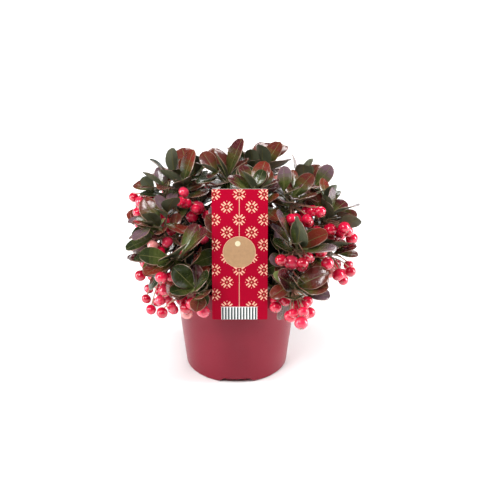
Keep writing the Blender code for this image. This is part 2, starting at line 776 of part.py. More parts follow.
def fuse(name, solids, material):
    """Joins the solids into one body: a loose scrap is dropped, and a hollow that the join seals is filled."""
    pieces = bpy.data.collections.new(f"{name}_pieces")
    bpy.context.scene.collection.children.link(pieces)
    first, *rest = solids
    body = add_object(name, bmesh_from(first), material)
    for number, solid in enumerate(rest, 1):
        piece = add_object(f"{name}_piece_{number}", bmesh_from(solid), material)
        bpy.context.scene.collection.objects.unlink(piece)
        pieces.objects.link(piece)
    join = body.modifiers.new("join", "BOOLEAN")
    join.operation = "UNION"
    join.solver = "EXACT"
    join.operand_type = "COLLECTION"
    join.collection = pieces
    graph = bpy.context.evaluated_depsgraph_get()
    joined = bpy.data.meshes.new_from_object(body.evaluated_get(graph), depsgraph=graph)
    body.modifiers.clear()
    body.data = joined
    joined.name = name
    keep_main_shell(joined)
    for piece in list(pieces.objects):
        bpy.data.objects.remove(piece, do_unlink=True)
    bpy.data.collections.remove(pieces)


def keep_main_shell(mesh):
    bm = bmesh.new()
    bm.from_mesh(mesh)
    bmesh.ops.remove_doubles(bm, verts=bm.verts, dist=1e-7)
    unseen = set(bm.verts)
    shells = []
    while unseen:
        reached = {unseen.pop()}
        front = list(reached)
        while front:
            vert = front.pop()
            for edge in vert.link_edges:
                other = edge.other_vert(vert)
                if other not in reached:
                    reached.add(other)
                    front.append(other)
        unseen -= reached
        shells.append(reached)
    main = max(shells, key=len)
    bmesh.ops.delete(bm, geom=[v for v in bm.verts if v not in main], context="VERTS")
    bm.to_mesh(mesh)
    bm.free()


def make_stems_and_foliage():
    bark = surface("bark_stems", BARK, 0.75)
    foliage = surface("foliage", DARK_LEAF, 0.38)
    for mass in grow_plant(made_obstacles()):
        add_object(f"stem_{mass.name}", bmesh_from(limb_solid(mass)), bark, 40)
        solids = [axis_solid(mass)]
        solids += [tube(twig.points, twig.radii, 3) for twig in mass.twigs[1:]]
        for fruit in mass.fruits:
            solids.append(tube(fruit.pedicel, [PEDICEL_RADIUS] * 3, 3))
            solids.append(ball_solid(fruit.centre, fruit.radius))
        solids += [leaf_solid(leaf) for leaf in mass.leaves]
        fuse(f"foliage_{mass.name}", solids, foliage)


def main():
    clear_scene()
    make_pot()
    make_potting_mix()
    make_main_stem()
    make_card()
    make_clip()
    make_stems_and_foliage()


main()
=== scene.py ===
"""The looks of a wintergreen shrub in red berry, in its 12 cm pot, with a card clipped to the rim.

Metres, +Z up, in the frame of the solids: the origin is under the middle of the pot and the card faces
-Y. The plant grows by the rule and the seeds that its solids grew by, and that growth is then carried on to
finer twigs, leaves and fruit. Geometry Nodes stand the leaves, berries, crumbs of mix and stars of the card
in their places.
"""

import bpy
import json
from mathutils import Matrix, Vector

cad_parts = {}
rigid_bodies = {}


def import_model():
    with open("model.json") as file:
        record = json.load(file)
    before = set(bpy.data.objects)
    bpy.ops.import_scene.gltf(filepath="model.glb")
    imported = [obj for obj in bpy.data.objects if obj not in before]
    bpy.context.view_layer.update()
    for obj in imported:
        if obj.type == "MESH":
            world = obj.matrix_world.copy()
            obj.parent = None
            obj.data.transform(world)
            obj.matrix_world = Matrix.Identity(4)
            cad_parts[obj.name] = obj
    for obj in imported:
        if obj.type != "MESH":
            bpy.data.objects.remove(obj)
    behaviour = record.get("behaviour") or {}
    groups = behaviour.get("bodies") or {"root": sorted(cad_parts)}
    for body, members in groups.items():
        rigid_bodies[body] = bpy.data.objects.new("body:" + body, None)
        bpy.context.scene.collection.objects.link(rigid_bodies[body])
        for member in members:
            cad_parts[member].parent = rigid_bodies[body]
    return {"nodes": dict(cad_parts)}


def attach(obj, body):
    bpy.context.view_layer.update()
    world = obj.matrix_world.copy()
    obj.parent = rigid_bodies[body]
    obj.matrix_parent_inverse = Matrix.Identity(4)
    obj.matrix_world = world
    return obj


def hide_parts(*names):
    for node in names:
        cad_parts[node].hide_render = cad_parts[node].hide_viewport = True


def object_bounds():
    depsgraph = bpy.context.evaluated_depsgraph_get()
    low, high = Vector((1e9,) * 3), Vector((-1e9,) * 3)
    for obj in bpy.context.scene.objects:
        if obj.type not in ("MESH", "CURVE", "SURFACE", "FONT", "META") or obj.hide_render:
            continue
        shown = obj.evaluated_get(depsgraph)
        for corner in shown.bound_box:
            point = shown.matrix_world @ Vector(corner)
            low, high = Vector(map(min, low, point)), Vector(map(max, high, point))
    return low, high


bl_info = {
    "name": "Potted wintergreen",
    "version": (1, 0, 0),
    "blender": (4, 5, 0),
    "location": "3D View > Sidebar > Wintergreen",
    "description": "Makes a potted wintergreen shrub round its solids, piece by piece",
    "category": "Object",
}

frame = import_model()

import functools
import json
import math
import random
from typing import NamedTuple

import bmesh
import bpy
from bpy.props import FloatProperty, FloatVectorProperty, IntProperty, PointerProperty
from bpy.types import Operator, Panel, PropertyGroup
from mathutils import Matrix, Vector, noise
from mathutils.bvhtree import BVHTree

SOLIDS_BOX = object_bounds()

UP = Vector((0, 0, 1))
CLEAR = 0.0003
GOLDEN_ANGLE = 137.5
NEARLY_UPRIGHT = 0.98
NEARLY_WHOLE = 0.9999
FIRST_ACROSS = Vector((0.3, -1, 0.2))

# The pot, as its solid has it
POT_HEIGHT = 0.096
RIM_RADIUS = 0.060
COLLAR_HEIGHT = 0.016
COLLAR_FOOT_RADIUS = 0.0592
BODY_TOP_RADIUS = 0.0553
BASE_RADIUS = 0.0463
POT_WALL = 0.0014
LIP = 0.0024
FOOT_ROUNDING = 0.0025
BEVEL = 0.0006
FLOOR_HEIGHT = 0.0064
POT_SIDES = 36
NOTCH_HEIGHT = 0.0048
NOTCH_TOP_WIDTH = 0.023
NOTCH_FOOT_WIDTH = 0.035
NOTCH_DEPTH = 0.013
NOTCH_BEARINGS = (270, 30, 150)
NOTCH_SPARE = 0.002
NOTCH_OVERSHOOT = 0.010
SOIL_TOP = 0.086
MAIN_STEM_HEIGHT = 0.017
MAIN_STEM_RADIUS = 0.0062
MAIN_STEM_FLARE = 0.0095
MAIN_STEM_HEAD = 0.0072

# The card and its clip, as their solids have them
CARD_WIDTH = 0.0483
CARD_HEIGHT = 0.1183
CARD_THICKNESS = 0.0006
CARD_CORNER = 0.0012
CARD_TILT = 10
CARD_FOOT = Vector((0.003, -0.0668, 0.0785))
CLIP_WIDTH = 0.014
CLIP_THICKNESS = 0.0008
CLIP_TOP = 0.113
CLIP_BEND = 0.1005
CLIP_TAIL = 0.0885
CLIP_INSIDE = -(RIM_RADIUS - LIP - 0.0012)
ROOM_BEFORE_CARD = 0.030
ROOM_ROUND_CARD = 0.001

# The rule of growth, as the solids have it. A variation's second number is added by the last try
STEM_FOOT_RADIUS = 0.0017
STEM_TIP_RADIUS = 0.0011
STEM_TAPER = 1.5
STEM_SIDES = 5
STEM_STEPS = 6
STEM_RISE = 0.45
STEM_APPROACH = 0.35
STEM_ROOM = 0.0005
FAN_CENTRE = Vector((0, 0, 0.075))
ENTRY = 0.026
APEX = 0.010
HEAD_STEM_REACH = 0.052
HEAD_STEM_SPREAD = 76
HIGH_HEART = 0.18
LOW_HEART = 0.09
HIGH_FOOT_SHARE = 0.26
LOW_FOOT_SHARE = 0.52
MASS_REACH = 0.058
SPACE_SHARE = 1.30
LOWEST_FOLIAGE = 0.030
ROOM_OVER_MIX = 0.003
GAP = 0.0006
TWIG_RADIUS = 0.0012
TWIG_END_RADIUS = 0.0009
TWIG_RADII = (TWIG_END_RADIUS, TWIG_END_RADIUS * 0.85)
TWIG_BEND = 0.0015
TWIG_PLACES = (0.40, 0.62)
TWIG_TURN = 170
TWIG_SPREAD = 50
TWIG_SPREAD_VARIATION = 8
TWIG_LENGTH = 0.018
TWIG_VARIATION = 0.15
TWIG_UPWARD = 0.15
TWIG_AHEAD = 0.2
TWIG_TRIES = 12
TWIG_TURN_PER_TRY = 31
TWIG_CUT_PER_TRY = 0.04
TWIG_ROOM = 0.0012
TWIG_ROOM_START = 0.3
AXIS_LEAVES = (0.99, 0.97, 0.90, 0.82, 0.73, 0.63, 0.52, 0.41, 0.30)
AXIS_LEAF_SPREAD = (24, 86)
LARGE_AXIS_LEAVES = 6
SMALL_AXIS_LEAF_SHARE = 0.9
SIDE_LEAVES = (0.98, 0.94, 0.72, 0.45)
SIDE_LEAF_SPREAD = (22, 80)
SIDE_LEAF_SHARE = 0.88
LEAF_TILT_VARIATION = (8, 26)
LEAF_TURN_VARIATION = (10, 90)
LEAF_OUTWARD = 0.12
LEAF_VARIATION = 0.14
LEAF_SHORTENING = 0.28
LEAF_FACES_UP = 0.7
LEAF_FACES_AXIS = 0.5
LEAF_FACING_VARIATION = 0.35
LEAF_SINK = 0.0002
BLADE_START = 0.22
BLADE_ROOM = 0.0002
LEAF_WIDTH_RATIO = 0.60
LEAF_THICKNESS = 0.0008
LEAF_KEEL = 0.30
LEAF_SHOULDER = 0.32
LEAF_BELLY = 0.68
LEAF_SHOULDER_WIDTH = 0.72
LEAF_FOLD = 14
LEAF_FOLD_VARIATION = 8
LEAF_DROOP = 0.10
LEAF_TRIES = 20
FRUIT_RADIUS = 0.0058
FRUIT_VARIATION = 0.16
FRUIT_REACH = 0.010
FRUIT_PITCH = 0.0085
FRUIT_DROP = 0.007
FRUIT_STAGGER = 0.006
FRUIT_LOOSENESS = 0.002
FRUIT_LOOSENING = 3
FRUIT_ROOTS = (0.35, 0.75)
FRUIT_LIGHT = 0.022
FRUIT_LIGHT_RISE = 0.5
FRUIT_LIGHT_SHARE = 0.8
FRUIT_TRIES = 40
PEDICEL_RADIUS = 0.0006
PEDICEL_LEAN = 0.5
PEDICEL_SEAT = 0.85
PEDICEL_KNEE = 0.3
PEDICEL_BOW = 0.65
PEDICEL_RISE = 0.001

# The finer growth. Each leaf of a finer twig has its place along the twig and its spread from it
FINER_TWIG_PLACES = (0.22, 0.50, 0.74, 0.90)
FINER_TWIG_LENGTH = 0.013
FINER_TWIG_RADII = (0.0007, 0.0007 * 0.8)
FINER_TWIG_LEAVES = ((0.98, 35), (0.90, 55), (0.70, 75), (0.45, 95))
FINER_LEAF_SHARE = 0.74
FINER_SPACE = 1.6
FINER_TRIES = 45
YOUNG_LEAF_PLACE = 0.995
YOUNG_LEAF_SPREADS = (18, 27, 36, 45)
YOUNG_LEAF_SHARE = 0.34
INNER_LEAVES = (0.10, 0.20, 0.34, 0.46, 0.58, 0.70)
INNER_LEAF_SPREAD = 85
INNER_LEAF_SHARE = 0.85
STEM_LEAF_FIRST = 0.16
STEM_LEAF_STEP = 0.045
STEM_LEAF_SPREAD = 66
STEM_LEAF_SHARE = 0.86
STEM_LEAF_SPACE = 2.4
STEM_LEAF_REACH = 0.1
CLUSTER_FRUITS = 1.6
CLUSTER_TRIES = 60
CLUSTER_FRUIT_SIZES = (0.78, 1.05)
CLUSTER_OUTWARD = 0.4
CLUSTER_DROP = (-0.9, 0.5)
BOX_ROOM = 0.0005
BOX_WALL = 0.03


class Sprig(NamedTuple):
    """One stem with its mass of foliage. The heart is the middle of its whorl of leaves."""

    name: str
    bearing: float
    reach: float
    height: float
    leaf: float
    fruits: int
    fruit_side: float


SPRIGS = (
    Sprig("summit", 130, 0.012, 0.171, 0.033, 2, 290),
    Sprig("summit_right", 52, 0.036, 0.168, 0.031, 1, 300),
    Sprig("front_high", 308, 0.026, 0.170, 0.029, 1, 250),
    Sprig("left_inner", 168, 0.046, 0.162, 0.031, 5, 252),
    Sprig("right_inner", 343, 0.048, 0.162, 0.030, 3, 330),
    Sprig("front_middle", 270, 0.034, 0.146, 0.029, 1, 270),
    Sprig("left_high", 168, 0.063, 0.160, 0.025, 4, 205),
    Sprig("right_high", 357, 0.076, 0.142, 0.030, 6, 322),
    Sprig("back_right_high", 28, 0.064, 0.150, 0.031, 2, 20),
    Sprig("back_left_high", 129, 0.060, 0.150, 0.032, 3, 110),
    Sprig("back_high", 82, 0.060, 0.146, 0.032, 2, 90),
    Sprig("left_middle", 199, 0.066, 0.140, 0.030, 5, 305),
    Sprig("front_left", 224, 0.066, 0.125, 0.043, 1, 250),
    Sprig("front_right", 316, 0.067, 0.134, 0.037, 3, 290),
    Sprig("right_low", 345, 0.075, 0.118, 0.032, 4, 325),
    Sprig("left_low", 190, 0.066, 0.106, 0.026, 6, 202),
    Sprig("front_left_low", 242, 0.070, 0.106, 0.031, 4, 225),
    Sprig("front_right_low", 308, 0.076, 0.106, 0.038, 6, 256),
    Sprig("left_back_low", 160, 0.072, 0.118, 0.031, 2, 160),
    Sprig("back_left_low", 125, 0.076, 0.112, 0.034, 2, 130),
    Sprig("back_low", 92, 0.076, 0.112, 0.034, 3, 90),
    Sprig("back_right_low", 56, 0.077, 0.112, 0.034, 2, 50),
    Sprig("right_back_low", 20, 0.074, 0.110, 0.031, 2, 20),
)


# Settings


def length(name, description, default):
    return FloatProperty(
        name=name, description=description, default=default, min=0, unit="LENGTH", precision=5
    )


def tint(name, description, default):
    return FloatVectorProperty(
        name=name, description=description, default=default, size=3, min=0, max=1, subtype="COLOR"
    )


def share(name, description, default):
    return FloatProperty(
        name=name, description=description, default=default, min=0, max=1, subtype="FACTOR"
    )


def count(name, description, default, least=0):
    return IntProperty(name=name, description=description, default=default, min=least)


class PotSettings(PropertyGroup):
    sides: count("Sides", "Facets round the pot", 120, 24)
    lip_rounding: length("Lip rounding", "Radius of the rounded top edge", 0.0006)
    colour: tint("Plastic", "Colour of the pot", (0.176, 0.008, 0.020))
    # Paler second colour of the plastic, mixed in random patches and lightened to stand in for part of its
    # sheen: painted sheen.
    mottle_and_sheen: tint("Plastic mottle and painted sheen", "Paler colour in random patches, partly painted sheen", (0.214, 0.014, 0.029))
    roughness: share("Roughness", "Roughness of the plastic", 0.32)
    crumbs: count("Crumbs", "Crumbs of mix for each square centimetre", 22)
    crumb_size: length("Crumb size", "Size of the largest crumbs", 0.0019)
    mix_colour: tint("Mix", "Colour of the damp potting mix", (0.030, 0.018, 0.011))
    fibre_colour: tint("Fibre", "Colour of the dry crumbs and fibres in the mix", (0.115, 0.070, 0.040))


class StemSettings(PropertyGroup):
    sides: count("Sides", "Facets round a stem", 10, 5)
    steps: count("Steps", "Rings along a stem", 40, 8)
    relief: share("Bark relief", "How far the bark stands out, as a share of the stem's radius", 0.13)
    bark: tint("Bark", "Colour of the woody stems", (0.125, 0.062, 0.042))
    bark_ridge: tint("Bark ridges", "Paler colour of the bark's ridges", (0.235, 0.140, 0.095))
    # The twigs' own pale colour, lightened further to stand in for the glint along them: partly painted
    # highlight.
    twig: tint("Twigs", "Pale colour of the young twigs, partly painted highlight", (0.420, 0.330, 0.200))
    pedicel: tint("Fruit stalks", "Colour of the fruit stalks", (0.520, 0.260, 0.180))


class LeafSettings(PropertyGroup):
    seed: count("Seed", "Deals the tints out", 5)
    green: tint("Green", "Dark green leaves", (0.026, 0.036, 0.010))
    fresh: tint("Fresh", "Light green young leaves", (0.200, 0.240, 0.080))
    bronze: tint("Bronze", "Bronze leaves", (0.130, 0.030, 0.012))
    plum: tint("Plum", "Dark purple leaves", (0.086, 0.015, 0.017))
    wine: tint("Wine", "Red leaves", (0.175, 0.015, 0.013))
    # Pale purple with a bloom, lightened to stand in for the grey sheen that these leaves reflect: partly
    # painted sheen.
    mauve: tint("Mauve", "Pale purple leaves with a bloom", (0.165, 0.095, 0.115))
    # Near black: painted shade for the leaves inside the crown.
    shade: tint("Shade", "Old leaves inside the crown", (0.009, 0.014, 0.007))
    base: tint("Leaf base", "Green that runs from the foot of each leaf", (0.070, 0.086, 0.018))
    rib: tint("Midrib", "Midrib on the upper side", (0.165, 0.155, 0.055))
    # A pale strip along the edge of each leaf: painted highlight.
    margin: tint("Margin", "Thin pale edge of the leaves", (0.340, 0.200, 0.150))
    under: tint("Underside", "Paler underside of the leaves", (0.112, 0.124, 0.074))
    roughness: share("Roughness", "Roughness of the upper side", 0.24)


class FruitSettings(PropertyGroup):
    seed: count("Seed", "Deals the tints out", 3)
    scarlet: tint("Scarlet", "Most of the berries", (0.700, 0.005, 0.048))
    crimson: tint("Crimson", "Deep red berries", (0.520, 0.002, 0.028))
    rose: tint("Rose", "Pink-red berries", (0.760, 0.030, 0.085))
    blush: tint("Blush", "Pale berries that are not ripe", (0.820, 0.280, 0.270))
    star: tint("Calyx", "Points of the calyx under a berry", (0.600, 0.120, 0.100))
    pit: tint("Calyx pit", "Dark middle of the calyx", (0.120, 0.010, 0.012))


class CardSettings(PropertyGroup):
    columns: count("Columns", "Stars across the card in its wide rows", 3, 1)
    rows: count("Rows", "Wide rows of stars up the card", 6, 1)
    pitch: length("Pitch", "Distance between stars in a row", 0.02145)
    row_pitch: length("Row pitch", "Height between the wide rows", 0.02268)
    star: length("Star", "Radius of a star", 0.0051)
    red: tint("Red", "Printed ground of the card", (0.385, 0.001, 0.021))
    cream: tint("Cream", "Petals of the stars", (0.880, 0.490, 0.350))
    heart: tint("Star heart", "Dark middle of the stars", (0.260, 0.040, 0.020))
    gold: tint("Gold", "The disc", (0.410, 0.246, 0.128))
    board: tint("Board", "Plain back and edges of the card", (0.780, 0.760, 0.720))


class StageSettings(PropertyGroup):
    elevation: FloatProperty(
        name="Elevation",
        description="Camera's angle above the floor",
        default=math.radians(26.8),
        subtype="ANGLE",
    )
    distance: length("Distance", "From the camera to what it looks at", 1.5)
    lens: FloatProperty(name="Lens", description="Focal length", default=124.9, min=10, unit="CAMERA")
    aim: FloatVectorProperty(
        name="Aim",
        description="Point in the middle of the picture",
        default=(0.00315, 0, 0.1227),
        unit="LENGTH",
    )
    floor: tint("Floor", "Colour of the floor", (0.90, 0.90, 0.90))


# Directions and curves


def from_bearing(bearing, reach=1.0, height=0.0):
    angle = math.radians(bearing)
    return Vector((reach * math.cos(angle), reach * math.sin(angle), height))


def square_to(direction, wanted):
    """The unit vector nearest to wanted that is square to direction."""
    side = wanted - direction * wanted.dot(direction)
    if side.length < 1e-4:
        side = direction.orthogonal()
    return side.normalized()


def turned_from(axis, spread, angle):
    """A direction spread degrees off the axis, turned by angle about it. Angle 0 is its upper side."""
    upper = square_to(axis, UP if abs(axis.z) < NEARLY_UPRIGHT else Vector((0, -1, 0)))
    around = Matrix.Rotation(math.radians(angle), 3, axis) @ upper
    return (axis * math.cos(math.radians(spread)) + around * math.sin(math.radians(spread))).normalized()


def bezier(p0, p1, p2, p3, steps):
    points = []
    for i in range(steps + 1):
        t = i / steps
        s = 1 - t
        points.append(p0 * s**3 + p1 * (3 * s * s * t) + p2 * (3 * s * t * t) + p3 * t**3)
    return points


def step_of(count, fraction):
    """The step that this fraction of a row of values falls in, and how far into it."""
    place = min(fraction, NEARLY_WHOLE) * (count - 1)
    return int(place), place - int(place)


def along(points, fraction):
    """The place and direction at this fraction of a line of points."""
    i, part = step_of(len(points), fraction)
    step = points[i + 1] - points[i]
    return points[i] + step * part, step.normalized()


def value_along(values, fraction):
    """The value at this fraction of evenly spaced values."""
    i, part = step_of(len(values), fraction)
    return values[i] + (values[i + 1] - values[i]) * part


def smoothed(points, steps):
    """A smooth line through the points, with this many steps to each of their gaps."""
    line = []
    for i in range(len(points) - 1):
        before = points[max(i - 1, 0)]
        after = points[min(i + 2, len(points) - 1)]
        near = points[i] + (points[i + 1] - before) / 6
        far = points[i + 1] - (after - points[i]) / 6
        line += bezier(points[i], near, far, points[i + 1], steps)[:-1]
    return [*line, points[-1]]


# Simple closed shapes as plain vertices and faces


def tube(points, radii, sides, grow=0.0, ends=None):
    """A closed tube along the points. Its ends are square to the directions in ends, or to its line."""
    verts, faces = [], []
    across = FIRST_ACROSS
    last = len(points) - 1
    for i, point in enumerate(points):
        ahead = (points[min(i + 1, last)] - points[max(i - 1, 0)]).normalized()
        if ends and i in (0, last):
            ahead = ends[i == last]
        across = square_to(ahead, across)
        other = ahead.cross(across)
        for k in range(sides):
            angle = math.tau * k / sides
            verts.append(point + (across * math.cos(angle) + other * math.sin(angle)) * (radii[i] + grow))
    for i in range(last):
        for k in range(sides):
            a, b = i * sides + k, i * sides + (k + 1) % sides
            faces.append((a, b, b + sides, a + sides))
    faces.append(tuple(reversed(range(sides))))
    faces.append(tuple(last * sides + k for k in range(sides)))
    return verts, faces


def slab_faces(count):
    """The faces of a slab whose verts are two outlines of this many points, one over the other."""
    walls = [(i, (i + 1) % count, (i + 1) % count + count, i + count) for i in range(count)]
    return [tuple(range(count)), tuple(reversed(range(count, 2 * count))), *walls]


def leaf_frame(root, direction, facing):
    """Y runs along the leaf and Z out of its upper face."""
    upper = square_to(direction, facing)
    turn = Matrix((direction.cross(upper), direction, upper)).transposed().to_4x4()
    return Matrix.Translation(root) @ turn


def leaf_outline(reach, grow=0.0):
    """The simple leaf's right edge from its foot to its tip, as (across, along)."""
    half = reach * LEAF_WIDTH_RATIO / 2
    return (
        (half * LEAF_SHOULDER_WIDTH + grow, reach * LEAF_SHOULDER),
        (half + grow, reach * LEAF_BELLY),
    )


def leaf_height(across, along_leaf, reach, fold):
    """How high the blade lies: its halves fold up from the midrib, and it droops to its tip."""
    return abs(across) * math.tan(math.radians(fold)) - LEAF_DROOP * reach * (along_leaf / reach) ** 2


def leaf_solid(leaf):
    """A blade that is thickest at its keel, thins to its edge, and starts at a point inside its twig."""
    reach, fold = leaf.length, leaf.fold
    edge = leaf_outline(reach)
    rim = [(0, 0), *edge, (0, reach), *((-across, place) for across, place in reversed(edge))]
    verts = [Vector((across, place, leaf_height(across, place, reach, fold))) for across, place in rim]
    keel = reach * LEAF_KEEL
    for side in (1, -1):
        verts.append(Vector((0, keel, leaf_height(0, keel, reach, fold) + side * LEAF_THICKNESS / 2)))
    count = len(rim)
    faces = [(i, (i + 1) % count, count) for i in range(count)]
    faces += [((i + 1) % count, i, count + 1) for i in range(count)]
    return [leaf.frame @ v for v in verts], faces


def leaf_guard(leaf, start=0.0, grow=GAP):
    """A plate round the leaf, wider and thicker by a gap. A start over 0 leaves out the blade's foot."""
    reach = leaf.length
    (low_across, low), (high_across, high) = leaf_outline(reach, grow)
    foot = start * reach
    foot_across = max(grow, low_across * min(1.0, foot / low))
    line = [(foot_across, foot)]
    if foot < low:
        line.append((low_across, low))
    line += [(high_across, high), (grow, reach + grow)]
    outline = line + [(-across, place) for across, place in reversed(line)]
    thick = LEAF_THICKNESS / 2 + grow
    verts = []
    for lift in (thick, -thick):
        for across, place in outline:
            height = leaf_height(across, place, reach, leaf.fold)
            verts.append(leaf.frame @ Vector((across, place, height + lift)))
    return verts, slab_faces(len(outline))


def ball_solid(centre, radius):
    bm = bmesh.new()
    bmesh.ops.create_icosphere(bm, subdivisions=1, radius=radius)
    verts = [v.co + centre for v in bm.verts]
    faces = [tuple(v.index for v in f.verts) for f in bm.faces]
    bm.free()
    return verts, faces


def box_solid(low, high):
    outline = ((low[0], low[1]), (low[0], high[1]), (high[0], high[1]), (high[0], low[1]))
    return [Vector((x, y, z)) for z in (low[2], high[2]) for x, y in outline], slab_faces(4)


# Growth by the rule of the solids


class Twig(NamedTuple):
    points: list
    radii: list


class Leaf(NamedTuple):
    """The spray is the number of the twig that it stands on, or -1 on the stem."""

    frame: Matrix
    length: float
    fold: float
    spray: int


class Fruit(NamedTuple):
    pedicel: list
    centre: Vector
    radius: float


class Mass:
    """A sprig's own growth: its twigs, leaves and fruit."""

    def __init__(self, sprig):
        self.name = sprig.name
        self.sprig = sprig
        self.rng = random.Random(sprig.name)
        self.heart = from_bearing(sprig.bearing, sprig.reach, sprig.height)
        self.axis = (self.heart - FAN_CENTRE).normalized()
        self.entry = self.heart - self.axis * ENTRY
        self.others = []
        self.limb = []
        self.limb_ends = ()
        self.twigs = []
        self.leaves = []
        self.fruits = []

    def jitter(self, size):
        return self.rng.uniform(-size, size)


class Space:
    """Everything that is already placed, so that what grows next keeps clear of it."""

    def __init__(self):
        self.items = []

    def add(self, owner, kind, solid):
        verts, faces = solid
        centre = sum(verts, Vector()) / len(verts)
        radius = max((v - centre).length for v in verts)
        self.items.append((owner, kind, centre, radius, BVHTree.FromPolygons(verts, faces)))

    def blocked(self, solid, owner, own_kinds=()):
        """Whether the solid meets anything of another owner, or of its own owner's own_kinds."""
        verts, faces = solid
        tree = BVHTree.FromPolygons(verts, faces)
        centre = sum(verts, Vector()) / len(verts)
        radius = max((v - centre).length for v in verts)
        for item_owner, kind, item_centre, item_radius, item_tree in self.items:
            if item_owner == owner and kind not in own_kinds:
                continue
            if (centre - item_centre).length < radius + item_radius and tree.overlap(item_tree):
                return True
        return False


def stem_foot(sprig):
    """Where the stem leaves the main stem's head or the mix, and which way it sets out."""
    if sprig.reach < HEAD_STEM_REACH:
        head = Vector((0, 0, SOIL_TOP + CLEAR + MAIN_STEM_HEIGHT - MAIN_STEM_HEAD))
        lean = math.radians(HEAD_STEM_SPREAD * sprig.reach / HEAD_STEM_REACH)
        out = UP * math.cos(lean) + from_bearing(sprig.bearing) * math.sin(lean)
        return head + out * (MAIN_STEM_HEAD + CLEAR), out
    lowness = (HIGH_HEART - sprig.height) / (HIGH_HEART - LOW_HEART)
    foot_share = HIGH_FOOT_SHARE + (LOW_FOOT_SHARE - HIGH_FOOT_SHARE) * lowness
    return from_bearing(sprig.bearing, sprig.reach * foot_share, SOIL_TOP + CLEAR), UP


def limb_line(mass, steps):
    foot, out = stem_foot(mass.sprig)
    span = (mass.entry - foot).length
    rise = foot + out * span * STEM_RISE
    approach = mass.entry - mass.axis * span * STEM_APPROACH
    return bezier(foot, rise, approach, mass.entry, steps)


def limb_radius(fraction):
    return STEM_TIP_RADIUS + (STEM_FOOT_RADIUS - STEM_TIP_RADIUS) * (1 - fraction) ** STEM_TAPER


def grow_limb(mass):
    mass.limb = limb_line(mass, STEM_STEPS)
    mass.limb_ends = (stem_foot(mass.sprig)[1], mass.axis)


def limb_solid(mass, grow=0.0):
    radii = [limb_radius(i / STEM_STEPS) for i in range(STEM_STEPS + 1)]
    return tube(mass.limb, radii, STEM_SIDES, grow, mass.limb_ends)


def side_twig(mass, space, root, ahead, angle, reach, radii):
    """Adds a twig that spreads from the root, unless it would leave the mass's space or touch something."""
    out = turned_from(ahead, TWIG_SPREAD + mass.jitter(TWIG_SPREAD_VARIATION), angle)
    reach *= 1 + mass.jitter(TWIG_VARIATION)
    lifted = (out + UP * TWIG_UPWARD + ahead * TWIG_AHEAD).normalized()
    points = [root, root + lifted * reach]
    guard = tube([root.lerp(points[1], TWIG_ROOM_START), points[1]], radii, 3, TWIG_ROOM)
    if not keeps_space(mass, guard[0]) or space.blocked(guard, mass.name, ("twig",)):
        return False
    mass.twigs.append(Twig(points, radii))
    space.add(mass.name, "twig", tube(points, radii, 3))
    return True


def grow_twigs(mass, space):
    """The mass's own stem goes on from its limb's tip, and side twigs spread from it."""
    start = mass.entry + mass.axis * CLEAR
    apex = mass.heart + mass.axis * APEX
    bend = square_to(mass.axis, UP) * TWIG_BEND
    axis = [start, mass.heart - bend, apex + bend]
    radii = (TWIG_RADIUS, (TWIG_RADIUS + TWIG_END_RADIUS) / 2, TWIG_END_RADIUS)
    mass.twigs.append(Twig(axis, radii))
    space.add(mass.name, "twig", tube(axis, radii, 3, 0.0, (mass.axis, mass.axis)))
    turn = mass.rng.uniform(0, 360)
    for number, place in enumerate(TWIG_PLACES):
        root, ahead = along(axis, place)
        for attempt in range(TWIG_TRIES):
            angle = turn + number * TWIG_TURN + attempt * TWIG_TURN_PER_TRY
            reach = TWIG_LENGTH * (1 - TWIG_CUT_PER_TRY * attempt)
            if side_twig(mass, space, root, ahead, angle, reach, TWIG_RADII):
                break


def keeps_space(mass, points, space_share=SPACE_SHARE, furthest=MASS_REACH):
    """Whether the points stay nearer to the mass's own heart than to another's, and out of the mix."""
    for point in points:
        own = (point - mass.heart).length
        if own > furthest or point.z < LOWEST_FOLIAGE:
            return False
        if math.hypot(point.x, point.y) < RIM_RADIUS and point.z < SOIL_TOP + ROOM_OVER_MIX:
            return False
        for other in mass.others:
            if own > space_share * (point - other).length:
                return False
    return True


def stalk_line(root, centre, radius):
    """A stalk that arches out from its root and down to its fruit's crown."""
    lean = (UP + (root - centre).normalized() * PEDICEL_LEAN).normalized()
    crown = centre + lean * radius * PEDICEL_SEAT
    bow = Vector((centre.x - root.x, centre.y - root.y, 0)) * PEDICEL_BOW + UP * PEDICEL_RISE
    return [root, root.lerp(crown, PEDICEL_KNEE) + bow * 0.5, crown]


def hang_fruit(mass, space, root, centre, radius, room, own_kinds=()):
    """Adds a fruit on its stalk, unless it would leave the mass's space or touch something."""
    pedicel = stalk_line(root, centre, radius)
    guard = ball_solid(centre, radius + room)
    stalk = tube(pedicel[1:], [PEDICEL_RADIUS] * 2, 3, room - GAP / 2)
    if not keeps_space(mass, guard[0]):
        return False
    if space.blocked(guard, mass.name, ("twig", "fruit", "stalk", *own_kinds)):
        return False
    if space.blocked(stalk, mass.name, ("fruit", *own_kinds)):
        return False
    mass.fruits.append(Fruit(pedicel, centre, radius))
    space.add(mass.name, "fruit", ball_solid(centre, radius))
    space.add(mass.name, "stalk", tube(pedicel, [PEDICEL_RADIUS] * 3, 3))
    return True


